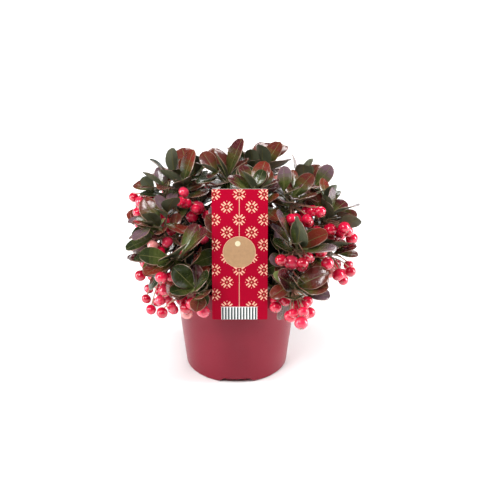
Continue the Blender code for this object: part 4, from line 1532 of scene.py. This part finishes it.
def twig_solid(twig, sides, relief):
    line = smoothed(twig.points, TWIG_STEPS)
    radii = [value_along(twig.radii, i / (len(line) - 1)) for i in range(len(line))]
    return bark_tube(line, radii, sides, relief)


def stalk_solid(fruit):
    """A fruit's stalk, which swells to the fruit."""
    line = smoothed(fruit.pedicel, TWIG_STEPS)
    last = len(line) - 1
    radii = [
        PEDICEL_RADIUS * (STALK_ROOT_SHARE + STALK_SWELL * (i / last) ** 3)
        for i in range(len(line))
    ]
    return tube(line, radii, FINE_TWIG_SIDES)


def make_twigs(settings):
    """Twigs go on from the stems' tips, and the fruit stalks arch out from them."""
    twigs, stalks = [], []
    for mass in grown_plant():
        for number, twig in enumerate(mass.twigs):
            sides = FINE_TWIG_SIDES if number else TWIG_SIDES
            twigs.append(twig_solid(twig, sides, settings.relief * TWIG_RELIEF_SHARE))
        stalks += [stalk_solid(fruit) for fruit in mass.fruits]
    # The twig colour is partly painted highlight.
    twig_bark = bark_material("Twig bark", settings.twig, lighter(settings.twig, 0.6), 0.0006)
    twigs = add_object("twigs", bmesh_from(*twigs), [twig_bark], BARK_CREASE)
    dress(twigs, foliage_nodes())
    look = Finish(
        settings.pedicel,
        lighter(settings.pedicel, 0.65),
        patch=0.003,
        grain=0.0004,
        roughness=0.42,
        height=0.00004,
    )
    stalk_skin = new_material("Fruit stalk", look)
    stalks = add_object("fruit_stalks", bmesh_from(*stalks), [stalk_skin], BARK_CREASE)
    dress(stalks, foliage_nodes())


# Leaves

LEAF_FOLDS = (7, 11, 15, 19)
LEAF_ROWS = (0.08, 0.19, 0.32, 0.45, 0.58, 0.71, 0.84, 0.95)
LEAF_WIDEST = 0.60
LEAF_FOOT_SLIMNESS = 1.25
LEAF_CREASE = 70
BLADE_WIDTH_RATIO = 0.62
BLADE_THICKNESS = 0.012
STALK_HALF_WIDTH = 0.022
RIB_HALF_WIDTH = 0.014
RIB_TAPER = 1.3
RIB_LIFT = 0.5
MARGIN_LIFT = 0.9
UNDER_RIB = 1.5
KEEL_DEPTH = 1.6
KEEL_TAPER = 1.1
MARGIN_SHARE = 0.94
LEAF_CAMBER = 0.45
LEAF_WAVE = 0.016
LEAF_RIPPLES = 9
LEAF_ZONES = ("Tip", "High", "Low", "Base", "Midrib", "Margin", "Underside")
TIP, BASE, RIB, MARGIN, UNDER = 0, 3, 4, 5, 6
ZONE_GREENS = (("Tip", 0), ("High", 0.33), ("Low", 0.67))
FLAT_GREEN_ROWS = 3
WAVY_GREEN_ROWS = 1

# Each tint's second colour: the tint it comes from, and how much lighter it is
SECOND_TINTS = {
    "green": ("green", 0.55),
    "fresh": ("fresh", 0.7),
    "bronze": ("plum", 1),
    "plum": ("plum", 0.6),
    "wine": ("bronze", 1),
    "mauve": ("mauve", 0.55),
}
LEAF_TINTS = (*SECOND_TINTS, "shade")
# Leaves on the stem, inside the crown, mostly take the near-black shade tint: painted shade.
INNER_TINTS = ("shade", "shade", "shade", "green", "plum")
OUTER_TINTS = ("green", "bronze", "bronze", "plum", "wine", "mauve")
SPRAY_TINTS = ("green", "bronze", "plum", "bronze", "mauve", "wine")
SPRAY_TINT_SHARE = 0.55
SPRAY_TINT_COUNT = 3
YOUNG_LENGTH_SHARE = 0.5


def leaf_half_width(place):
    """Half the width of a leaf of length 1: a wedge at its foot, and round from its widest on."""
    if place <= LEAF_WIDEST:
        fullness = math.sin(math.pi / 2 * place / LEAF_WIDEST) ** LEAF_FOOT_SLIMNESS
    else:
        fullness = (1 - ((place - LEAF_WIDEST) / (1 - LEAF_WIDEST)) ** 2) ** 0.5
    return STALK_HALF_WIDTH + (BLADE_WIDTH_RATIO / 2 - STALK_HALF_WIDTH) * fullness


def blade_height(across, place, fold, wave):
    """How high the blade lies: folded at its rib, flatter to its edges, rippled and drooping to its tip."""
    half = leaf_half_width(place)
    rise = abs(across) * math.tan(math.radians(fold)) * (1 - LEAF_CAMBER * abs(across) / half)
    ripple = wave * math.sin(place * LEAF_RIPPLES + (2 if across > 0 else 0)) * abs(across) / half
    return rise - LEAF_DROOP * place**2 + ripple


def leaf_row(bm, place, fold, wave):
    """One row of verts from edge to edge of the leaf, over its upper side and over its underside."""
    half = leaf_half_width(place)
    rib = min(RIB_HALF_WIDTH * (RIB_TAPER - place), half * 0.5)
    margin = half * MARGIN_SHARE

    def vert(across, lift=0.0):
        height = blade_height(across, place, fold, wave)
        return bm.verts.new((across, place, height + BLADE_THICKNESS * lift))

    left, right = vert(-half), vert(half)
    lifts = ((-margin, MARGIN_LIFT), (-rib, RIB_LIFT), (rib, RIB_LIFT), (margin, MARGIN_LIFT))
    upper = [vert(across, lift) for across, lift in lifts]
    sunk = blade_height(0, place, fold, wave) - BLADE_THICKNESS * KEEL_DEPTH * (KEEL_TAPER - place)
    keel = [bm.verts.new((side * rib * UNDER_RIB, place, sunk)) for side in (-1, 1)]
    return [left, *upper, right], [left, *keel, right]


def leaf_shape(number, fold, wave, green_rows):
    """A closed leaf of length 1: its foot at the origin, its tip to +Y and its upper side to +Z."""
    bm = bmesh.new()
    zone = bm.faces.layers.int.new("zone")
    foot = bm.verts.new((0, 0, 0))
    tip = bm.verts.new((0, 1.0, -LEAF_DROOP))
    upper, lower = zip(*(leaf_row(bm, place, fold, wave) for place in LEAF_ROWS))
    # The outer strips of the upper side take the margin colour, a painted edge highlight.
    for rows, zones in ((upper, (MARGIN, None, RIB, None, MARGIN)), (lower, (UNDER, RIB, UNDER))):
        ends = [[foot] * len(rows[0]), *rows, [tip] * len(rows[0])]
        for row, (low, high) in enumerate(zip(ends, ends[1:])):
            zone_of_row = max(TIP, min(BASE, BASE + green_rows - row))
            for column, zone_of_column in enumerate(zones):
                corners = (low[column], low[column + 1], high[column + 1], high[column])
                corners = list(dict.fromkeys(corners))
                face = bm.faces.new(corners if rows is upper else corners[::-1])
                face[zone] = zone_of_row if zone_of_column is None else zone_of_column
    return plain_mesh(f"leaf_{number}", bm, LEAF_CREASE)


def leaf_look(colour, second, roughness, patch=0.006, gloss=1.0):
    return Finish(
        colour,
        second,
        patch=patch,
        grain=0.0026,
        roughness=roughness,
        roughness_spread=0.08,
        height=0.00035,
        coat=0.42 * gloss,
        coat_roughness=0.12,
        specular=0.32 * gloss,
        contrast=0.5,
    )


def tinted_materials(settings, tint_name):
    """The materials from the leaf's tip to its middle, each greener than the last."""
    other, factor = SECOND_TINTS[tint_name]
    colour = Vector(getattr(settings, tint_name))
    second = Vector(lighter(getattr(settings, other), factor))
    base = Vector(settings.base)
    materials = {}
    for zone, green in ZONE_GREENS:
        look = leaf_look(colour.lerp(base, green), second.lerp(base, green), settings.roughness)
        materials[zone] = new_material(f"Leaf {tint_name} {zone.lower()}", look)
    return materials


def shared_materials(settings):
    """The materials that the leaves of all tints but shade have in common."""
    rows = (
        ("Base", "Leaf base", settings.base, 0.55, 0.32, 0.004),
        ("Midrib", "Midrib", settings.rib, 0.6, 0.4, 0.006),
        ("Margin", "Leaf margin", settings.margin, 0.5, 0.4, 0.004),
        ("Underside", "Leaf underside", settings.under, 0.62, 0.5, 0.006),
    )
    return {
        zone: new_material(name, leaf_look(colour, lighter(colour, factor), roughness, patch))
        for zone, name, colour, factor, roughness, patch in rows
    }


def leaf_materials(settings):
    """Each tint's material for each zone of a leaf."""
    by_tint = {name: tinted_materials(settings, name) for name in SECOND_TINTS}
    # The shade tint is near black and dull in every zone of the leaf: painted shade.
    dark = leaf_look(settings.shade, lighter(settings.shade, 0.5), 0.5, gloss=0.3)
    by_tint["shade"] = dict.fromkeys(LEAF_ZONES, new_material("Leaf shade", dark))
    shared = shared_materials(settings)
    return {name: {**shared, **materials} for name, materials in by_tint.items()}


def deal_tint(mass, leaf, rng, favourites):
    """The leaf's tint: young leaves are fresh green, and a spray mostly keeps to one tint of its mass."""
    if leaf.length < mass.sprig.leaf * YOUNG_LENGTH_SHARE:
        return "fresh"
    # Leaves on the stem lie inside the crown, and most of them get the painted shade tint.
    if leaf.spray == -1:
        return rng.choice(INNER_TINTS)
    if rng.random() < SPRAY_TINT_SHARE:
        return favourites[leaf.spray % len(favourites)]
    return rng.choice(OUTER_TINTS)


def make_leaves(settings):
    shapes = []
    for fold in LEAF_FOLDS:
        shapes.append(leaf_shape(len(shapes), fold, 0.0, FLAT_GREEN_ROWS))
        shapes.append(leaf_shape(len(shapes), fold, LEAF_WAVE, WAVY_GREEN_ROWS))
    places = {name: [] for name in LEAF_TINTS}
    for mass in grown_plant():
        rng = random.Random(f"{mass.name} {settings.seed}")
        favourites = rng.sample(SPRAY_TINTS, SPRAY_TINT_COUNT)
        for leaf in mass.leaves:
            fold = min(range(len(LEAF_FOLDS)), key=lambda i: abs(LEAF_FOLDS[i] - leaf.fold))
            shape = 2 * fold + rng.randrange(2)
            place = (shape, leaf.frame.to_quaternion(), leaf.length, leaf.frame.translation)
            places[deal_tint(mass, leaf, rng, favourites)].append(place)
    materials = leaf_materials(settings)
    tree = standing_tree("Standing leaves", LEAF_ZONES)
    for name in LEAF_TINTS:
        leaves = stand_about(f"leaves_{name}", tree, shapes, places[name], materials[name])
        dress(leaves, foliage_nodes())


# Fruit

BERRY_SEGMENTS = 15
BERRY_RINGS = 8
BERRY_RINGS_END = 0.93
BERRY_SQUASHES = (0.95, 0.88)
BERRY_LOBES = 5
BERRY_LOBE_HEIGHT = 0.02
BERRY_ZONES = ("Skin", "Calyx", "Pit")
SKIN, CALYX, PIT = 0, 1, 2
BERRY_PATCH_SHADE = 0.78
BERRY_LEAN = 0.9
BERRY_SWAY = 50
CALYX_POINT = (0.44, 1.03)
CALYX_NOTCH = (0.24, 0.99)
PIT_EDGE = (0.15, 0.90)
PIT_DEPTH = 0.80
CROWN_DEPTH = 0.94
FRUIT_TINTS = {"scarlet": 60, "crimson": 20, "rose": 18, "blush": 2}


def berry_rings():
    """Each ring's verts, from the crown down to the pit's edge, as angles from the crown and reaches."""
    last = BERRY_RINGS + 1
    rings = [[(math.pi * i / last * BERRY_RINGS_END, 1.0)] * BERRY_SEGMENTS for i in range(1, last)]
    calyx = [CALYX_NOTCH if k % 3 else CALYX_POINT for k in range(BERRY_SEGMENTS)]
    for ring in (calyx, [PIT_EDGE] * BERRY_SEGMENTS):
        rings.append([(math.pi - angle, reach) for angle, reach in ring])
    return rings


def berry_vert(bm, k, angle, reach, squash):
    turn = math.tau * k / BERRY_SEGMENTS
    lobe = 1 + BERRY_LOBE_HEIGHT * math.cos(turn * BERRY_LOBES) * math.sin(angle)
    flat = math.sin(angle) * reach * lobe
    return bm.verts.new((flat * math.cos(turn), flat * math.sin(turn), math.cos(angle) * reach * squash))


def berry_shape(number, squash):
    """A berry of radius 1, with its stalk end to +Z and the points of its calyx round a pit at -Z."""
    bm = bmesh.new()
    zone = bm.faces.layers.int.new("zone")
    rows = [[berry_vert(bm, k, *spot, squash) for k, spot in enumerate(ring)] for ring in berry_rings()]
    crown = bm.verts.new((0, 0, squash * CROWN_DEPTH))
    pit = bm.verts.new((0, 0, -squash * PIT_DEPTH))
    for k in range(BERRY_SEGMENTS):
        after = (k + 1) % BERRY_SEGMENTS
        bm.faces.new((crown, rows[0][k], rows[0][after]))
        bm.faces.new((pit, rows[-1][after], rows[-1][k]))[zone] = PIT
        for i, (high, low) in enumerate(zip(rows, rows[1:])):
            face = bm.faces.new((high[k], low[k], low[after], high[after]))
            face[zone] = CALYX if i >= len(rows) - 2 else SKIN
    mesh = plain_mesh(f"berry_{number}", bm)
    mesh.shade_smooth()
    return mesh


def berry_material(name, colour, factor, roughness=0.22):
    look = Finish(
        colour,
        lighter(colour, factor),
        patch=0.004,
        grain=0.0005,
        roughness=roughness,
        roughness_spread=0.05,
        height=0.00002,
        coat=0.8,
        coat_roughness=0.05,
        subsurface=0.08,
        subsurface_depth=0.002,
        contrast=0.2,
    )
    return new_material(name, look)


def make_fruit(settings):
    shapes = [berry_shape(number, squash) for number, squash in enumerate(BERRY_SQUASHES)]
    places = {name: [] for name in FRUIT_TINTS}
    for mass in grown_plant():
        rng = random.Random(f"{mass.name} {settings.seed}")
        for fruit in mass.fruits:
            bearing = mass.sprig.fruit_side + rng.uniform(-BERRY_SWAY, BERRY_SWAY)
            stalk = (fruit.pedicel[-1] - fruit.centre).normalized() + from_bearing(bearing) * -BERRY_LEAN
            turn = stalk.normalized().to_track_quat("Z", "Y")
            name = rng.choices(tuple(FRUIT_TINTS), FRUIT_TINTS.values())[0]
            places[name].append((rng.randrange(len(shapes)), turn, fruit.radius, fruit.centre))
    shared = {
        "Calyx": berry_material("Calyx", settings.star, 0.6, 0.4),
        "Pit": berry_material("Calyx pit", settings.pit, 0.6, 0.6),
    }
    tree = standing_tree("Hanging fruit", BERRY_ZONES)
    for name in FRUIT_TINTS:
        if places[name]:
            skin = berry_material(f"Berry {name}", getattr(settings, name), BERRY_PATCH_SHADE)
            berries = stand_about(f"berries_{name}", tree, shapes, places[name], {"Skin": skin, **shared})
            dress(berries, foliage_nodes())


# Card

PRINT_SHIFT = -0.0005
PRINT_INSET = 0.0001
INK = 0.00006
DISC_HEIGHT = 0.0618
DISC_RADIUS = 0.0139
DISC_RING = 0.0004
DOT_RADIUS = 0.0024
DOT_SHIFT = -0.0013
DOT_RISE = 0.0077
LINE_WIDTH = 0.0006
PANEL_WIDTH = 0.0314
PANEL_HEIGHT = 0.0117
BARS = 12
BAR_SHARE = 0.5
TOP_ROW_HEIGHT = 0.1137
BARE_ROW = 4
STAR_PETAL = ((0.05, 0.49), (0.29, 0.35), (0.62, 0.86), (0.46, 0.98))
STAR_BEAD = (1.04, 0.09)
STAR_HEART = 0.34
STAR_DOT = 0.13
STAR_ROOM = 1.3
IVORY = (0.80, 0.74, 0.50)
WHITE = (0.86, 0.87, 0.86)
DARK = (0.045, 0.060, 0.062)
CLIP_COLOURS = ((0.62, 0.63, 0.64), (0.74, 0.75, 0.76))


def card_frame():
    """The card's own frame: its origin is the middle of its foot, and Z runs up the card."""
    return Matrix.Translation(CARD_FOOT) @ Matrix.Rotation(math.radians(-CARD_TILT), 4, "X")


def card_back(height):
    """The Y of the card's back face at this height."""
    run = (height - CARD_FOOT.z) * math.tan(math.radians(CARD_TILT))
    return CARD_FOOT.y + run + CARD_THICKNESS / 2 / math.cos(math.radians(CARD_TILT))


def on_card(obj, shift=PRINT_SHIFT):
    """Puts a piece made in the card's own frame on the card, moved across it by the shift."""
    obj.data.transform(card_frame() @ Matrix.Translation((shift, 0, 0)))
    obj.data.update()
    dress(obj, ["label_card"])


def plate(outline, lift, thick=INK):
    """A thin plate with this (across, up) outline, raised by lift from the card's front face."""
    front = -CARD_THICKNESS / 2 - lift - thick
    verts = [Vector((x, y, z)) for y in (front, front + thick) for x, z in outline]
    return verts, slab_faces(len(outline))


def circle(radius, across, height, segments=64):
    steps = (math.tau * i / segments for i in range(segments))
    return [(across + radius * math.cos(angle), height + radius * math.sin(angle)) for angle in steps]


def rectangle(left, right, low, high):
    return [(left, low), (right, low), (right, high), (left, high)]


def diamond(height, size):
    return [(size, height), (0, height + size), (-size, height), (0, height - size)]


def star_shape(radius):
    """An eight-petalled star: a pair of petals on each diagonal, a bead between pairs, and a dark heart."""
    outlines = []
    for quarter in range(4):
        for outline in (STAR_PETAL, [(y, x) for x, y in STAR_PETAL], diamond(*STAR_BEAD)):
            outlines.append((outline, quarter, 0, 0.0))
    outlines.append((diamond(0, STAR_HEART), 0, 1, 0.0))
    outlines.append((diamond(0, STAR_DOT), 0, 0, INK / 3))
    bm = bmesh.new()
    zone = bm.faces.layers.int.new("zone")
    for outline, quarter, number, lift in outlines:
        turn = Matrix.Rotation(math.tau * quarter / 4, 2)
        verts, faces = plate([tuple(turn @ Vector(corner) * radius) for corner in outline], lift)
        placed = [bm.verts.new((v.x, v.z, -v.y)) for v in verts]
        for face in faces:
            bm.faces.new([placed[i] for i in face])[zone] = number
    bmesh.ops.recalc_face_normals(bm, faces=bm.faces)
    return add_object("star_pattern", bm)


def ink(name, colour, roughness=0.38):
    look = Finish(
        colour,
        lighter(colour, 0.92),
        patch=0.004,
        grain=0.0005,
        roughness=roughness,
        specular=0.04,
        contrast=0.2,
    )
    return new_material(name, look)


def trim_stars(bm, settings):
    """Leaves one star's place bare, and cuts the stars at the edges of the card and of its panel."""
    bare = Vector((0, 0, TOP_ROW_HEIGHT - BARE_ROW * settings.row_pitch))
    hidden = [v for v in bm.verts if (v.co - bare).length < settings.star * STAR_ROOM]
    bmesh.ops.delete(bm, geom=hidden, context="VERTS")
    half = CARD_WIDTH / 2 - PRINT_INSET
    for place, outward in (
        (Vector((half - PRINT_SHIFT, 0, 0)), Vector((1, 0, 0))),
        (Vector((-half - PRINT_SHIFT, 0, 0)), Vector((-1, 0, 0))),
        (Vector((0, 0, CARD_HEIGHT - PRINT_INSET)), UP),
        (Vector((0, 0, PANEL_HEIGHT)), -UP),
    ):
        cut = {"plane_co": place, "plane_no": outward, "clear_outer": True}
        bmesh.ops.bisect_plane(bm, geom=[*bm.verts, *bm.edges, *bm.faces], dist=1e-7, **cut)
        bmesh.ops.holes_fill(bm, edges=[e for e in bm.edges if e.is_boundary])


def make_card_stars(settings):
    """The stars of the print, set out by their tree, laid on the card and trimmed."""
    star = star_shape(settings.star)
    stars = linked(bpy.data.objects.new("card_stars", bpy.data.meshes.new("card_stars")))
    values = {
        "Star": star,
        "Columns": settings.columns,
        "Rows": settings.rows,
        "Pitch": settings.pitch,
        "Row pitch": settings.row_pitch,
        "Petal": ink("Cream print", settings.cream),
        "Middle": ink("Star heart print", settings.heart),
    }
    run_tree(stars, star_tree(), values)
    remove_objects(star)
    middle = TOP_ROW_HEIGHT - (settings.rows - 1) * settings.row_pitch / 2
    stars.data.transform(Matrix.Translation((0, 0, middle)) @ Matrix.Rotation(math.radians(90), 4, "X"))
    bm = bmesh.new()
    bm.from_mesh(stars.data)
    trim_stars(bm, settings)
    bm.to_mesh(stars.data)
    bm.free()
    on_card(stars)


def make_card_body(settings):
    half = CARD_WIDTH / 2
    bm = bmesh_from(box_solid((-half, -CARD_THICKNESS / 2, 0), (half, CARD_THICKNESS / 2, CARD_HEIGHT)))
    corners = [e for e in bm.edges if abs(e.verts[0].co.y - e.verts[1].co.y) > CARD_THICKNESS / 2]
    bmesh.ops.bevel(bm, geom=corners, offset=CARD_CORNER, segments=6, profile=0.5, affect="EDGES")
    for face in bm.faces:
        face.material_index = 0 if face.normal.y < -0.9 else 1
    materials = [ink("Red print", settings.red, 0.34), ink("Plain board", settings.board, 0.6)]
    on_card(add_object("card_body", bm, materials), 0.0)


def gold_material(settings):
    look = Finish(
        settings.gold,
        lighter(settings.gold, 1.25),
        patch=0.0025,
        grain=0.0004,
        roughness=0.42,
        height=0.00001,
        specular=0.2,
        contrast=0.6,
    )
    return new_material("Gold", look)


def stripe_plates():
    """Even stripes over the panel."""
    pitch = PANEL_WIDTH / BARS
    plates = []
    for number in range(BARS):
        left = -PANEL_WIDTH / 2 + pitch * (number + (1 - BAR_SHARE) / 2)
        outline = rectangle(left, left + pitch * BAR_SHARE, 2 * PRINT_INSET, PANEL_HEIGHT - 4 * PRINT_INSET)
        plates.append(plate(outline, 2 * INK))
    return plates


def make_card_prints(settings):
    """The prints over the stars: the thread, the disc on its ring, its dot, and the panel of stripes."""
    half_line, half_panel = LINE_WIDTH / 2, PANEL_WIDTH / 2
    thread = rectangle(-half_line, half_line, PANEL_HEIGHT, CARD_HEIGHT - PRINT_INSET)
    ring = circle(DISC_RADIUS + DISC_RING, 0, DISC_HEIGHT)
    disc = circle(DISC_RADIUS, 0, DISC_HEIGHT)
    dot = circle(DOT_RADIUS, DOT_SHIFT, DISC_HEIGHT + DOT_RISE, 40)
    panel = rectangle(-half_panel, half_panel, PRINT_INSET, PANEL_HEIGHT)
    for name, plates, material in (
        ("thread", [plate(thread, 0.0, INK * 0.8)], ink("Thread print", lighter(settings.cream, 0.8))),
        ("disc_ring", [plate(ring, INK)], ink("Pale gold print", lighter(settings.cream, 0.92))),
        ("disc", [plate(disc, 2 * INK)], gold_material(settings)),
        ("dot", [plate(dot, 3 * INK)], ink("Ivory print", IVORY)),
        ("panel", [plate(panel, INK)], ink("White print", WHITE)),
        ("stripes", stripe_plates(), ink("Dark print", DARK)),
    ):
        on_card(add_object(f"card_{name}", bmesh_from(*plates), [material]))


def finish_clip():
    look = Finish(*CLIP_COLOURS, patch=0.006, grain=0.0008, roughness=0.2, coat=0.3, contrast=0.2)
    clip = frame["nodes"]["label_clip"]
    clip.data.materials.clear()
    clip.data.materials.append(new_material("Milky plastic", look))


def make_card(settings):
    make_card_body(settings)
    make_card_stars(settings)
    make_card_prints(settings)
    finish_clip()


# Stage

FLOOR_REACH = 12
WORLD_LIGHT = 0.09
SENSOR_WIDTH = 36
LAMP_TARGET = (0, 0, 0.12)
LAMP_DISTANCE = 3

# Each softbox's place, its width and height, and its power
SOFTBOXES = {
    "key_softbox": ((-0.55, -0.9, 1.25), (0.40, 0.40), 12),
    "left_softbox": ((-1.2, -0.25, 0.45), (0.35, 0.9), 14),
    "right_softbox": ((1.2, -0.10, 0.45), (0.35, 0.9), 18),
    "back_softbox": ((0.15, 1.1, 1.0), (1.0, 0.5), 12),
}


def aimed(obj, place, target):
    obj.location = place
    obj.rotation_euler = (Vector(target) - Vector(place)).to_track_quat("-Z", "Y").to_euler()
    return linked(obj)


def softbox(name, place, size, power):
    lamp = bpy.data.lights.new(name, "AREA")
    lamp.shape = "RECTANGLE"
    lamp.size, lamp.size_y = size
    lamp.energy = power
    aimed(bpy.data.objects.new(name, lamp), place, LAMP_TARGET)


def wide_lamp(name, direction, angle, power):
    """A far lamp that fills this angle of the sky, seen along the direction from the plant."""
    lamp = bpy.data.lights.new(name, "SUN")
    lamp.angle = math.radians(angle)
    lamp.energy = power
    placed = aimed(bpy.data.objects.new(name, lamp), Vector(direction) * LAMP_DISTANCE, (0, 0, 0))
    placed.visible_glossy = False


def make_floor(settings):
    corners = [Vector((x, y, 0)) * FLOOR_REACH for x, y in ((-1, -1), (1, -1), (1, 1), (-1, 1))]
    look = Finish(settings.floor, lighter(settings.floor, 0.97), patch=0.5, grain=0.01, roughness=0.8)
    floor = add_object("floor", bmesh_from((corners, [(0, 1, 2, 3)])), [new_material("Pale floor", look)])


def make_world():
    world = bpy.data.worlds.new("Soft daylight")
    bpy.context.scene.world = world
    world.use_nodes = True
    background = world.node_tree.nodes["Background"]
    background.inputs["Color"].default_value = (1.0, 1.0, 1.0, 1)
    background.inputs["Strength"].default_value = WORLD_LIGHT


def make_camera(settings):
    camera = bpy.data.objects.new("camera", bpy.data.cameras.new("camera"))
    camera.data.lens = settings.lens
    camera.data.sensor_width = SENSOR_WIDTH
    back = Vector((0, -math.cos(settings.elevation), math.sin(settings.elevation)))
    aimed(camera, Vector(settings.aim) + back * settings.distance, settings.aim)
    bpy.context.scene.camera = camera
    bpy.context.scene.view_settings.view_transform = "Standard"


def make_stage(settings):
    make_floor(settings)
    make_world()
    wide_lamp("overhead_lamp", (0.05, -0.30, 1.0), 60, 2.3)
    for name, (place, size, power) in SOFTBOXES.items():
        softbox(name, place, size, power)
    make_camera(settings)


# Add-on


class WINTERGREEN_OT_pot(Operator):
    """Makes the pot's shell with its collar and drain slots"""

    bl_idname = "wintergreen.pot"
    bl_label = "Pot"

    def execute(self, context):
        make_pot(context.scene.wintergreen_pot)
        return {"FINISHED"}


class WINTERGREEN_OT_mix(Operator):
    """Fills the pot with crumbly mix"""

    bl_idname = "wintergreen.mix"
    bl_label = "Potting mix"

    def execute(self, context):
        make_potting_mix(context.scene.wintergreen_pot)
        return {"FINISHED"}


class WINTERGREEN_OT_stems(Operator):
    """Grows the woody stock, the stems, the twigs and the fruit stalks"""

    bl_idname = "wintergreen.stems"
    bl_label = "Stems and twigs"

    def execute(self, context):
        settings = context.scene.wintergreen_stems
        make_main_stem(settings)
        make_stems(settings)
        make_twigs(settings)
        return {"FINISHED"}


class WINTERGREEN_OT_leaves(Operator):
    """Stands the leaves on their twigs, one piece for each tint"""

    bl_idname = "wintergreen.leaves"
    bl_label = "Leaves"

    def execute(self, context):
        make_leaves(context.scene.wintergreen_leaves)
        return {"FINISHED"}


class WINTERGREEN_OT_fruit(Operator):
    """Hangs the berries on their stalks, one piece for each tint"""

    bl_idname = "wintergreen.fruit"
    bl_label = "Berries"

    def execute(self, context):
        make_fruit(context.scene.wintergreen_fruit)
        return {"FINISHED"}


class WINTERGREEN_OT_card(Operator):
    """Makes the printed card and finishes its clip"""

    bl_idname = "wintergreen.card"
    bl_label = "Card"

    def execute(self, context):
        make_card(context.scene.wintergreen_card)
        return {"FINISHED"}


class WINTERGREEN_OT_stage(Operator):
    """Sets the floor, the lamps and the camera"""

    bl_idname = "wintergreen.stage"
    bl_label = "Stage"

    def execute(self, context):
        make_stage(context.scene.wintergreen_stage)
        return {"FINISHED"}


class WINTERGREEN_PT_panel(Panel):
    """Lists what can be made, in order"""

    bl_idname = "WINTERGREEN_PT_panel"
    bl_label = "Wintergreen"
    bl_space_type = "VIEW_3D"
    bl_region_type = "UI"
    bl_category = "Wintergreen"

    def draw(self, context):
        for operator in OPERATORS:
            self.layout.operator(operator.bl_idname)


OPERATORS = (
    WINTERGREEN_OT_stage,
    WINTERGREEN_OT_pot,
    WINTERGREEN_OT_mix,
    WINTERGREEN_OT_stems,
    WINTERGREEN_OT_leaves,
    WINTERGREEN_OT_fruit,
    WINTERGREEN_OT_card,
)
SETTINGS = {
    "wintergreen_pot": PotSettings,
    "wintergreen_stems": StemSettings,
    "wintergreen_leaves": LeafSettings,
    "wintergreen_fruit": FruitSettings,
    "wintergreen_card": CardSettings,
    "wintergreen_stage": StageSettings,
}


def register():
    for cls in (*SETTINGS.values(), *OPERATORS, WINTERGREEN_PT_panel):
        bpy.utils.register_class(cls)
    for name, cls in SETTINGS.items():
        setattr(bpy.types.Scene, name, PointerProperty(type=cls))


def unregister():
    for name in SETTINGS:
        delattr(bpy.types.Scene, name)
    for cls in (WINTERGREEN_PT_panel, *reversed(OPERATORS), *reversed(SETTINGS.values())):
        bpy.utils.unregister_class(cls)


def main():
    register()
    for operator in OPERATORS:
        group, name = operator.bl_idname.split(".")
        getattr(getattr(bpy.ops, group), name)()


if __name__ == "__main__":
    main()
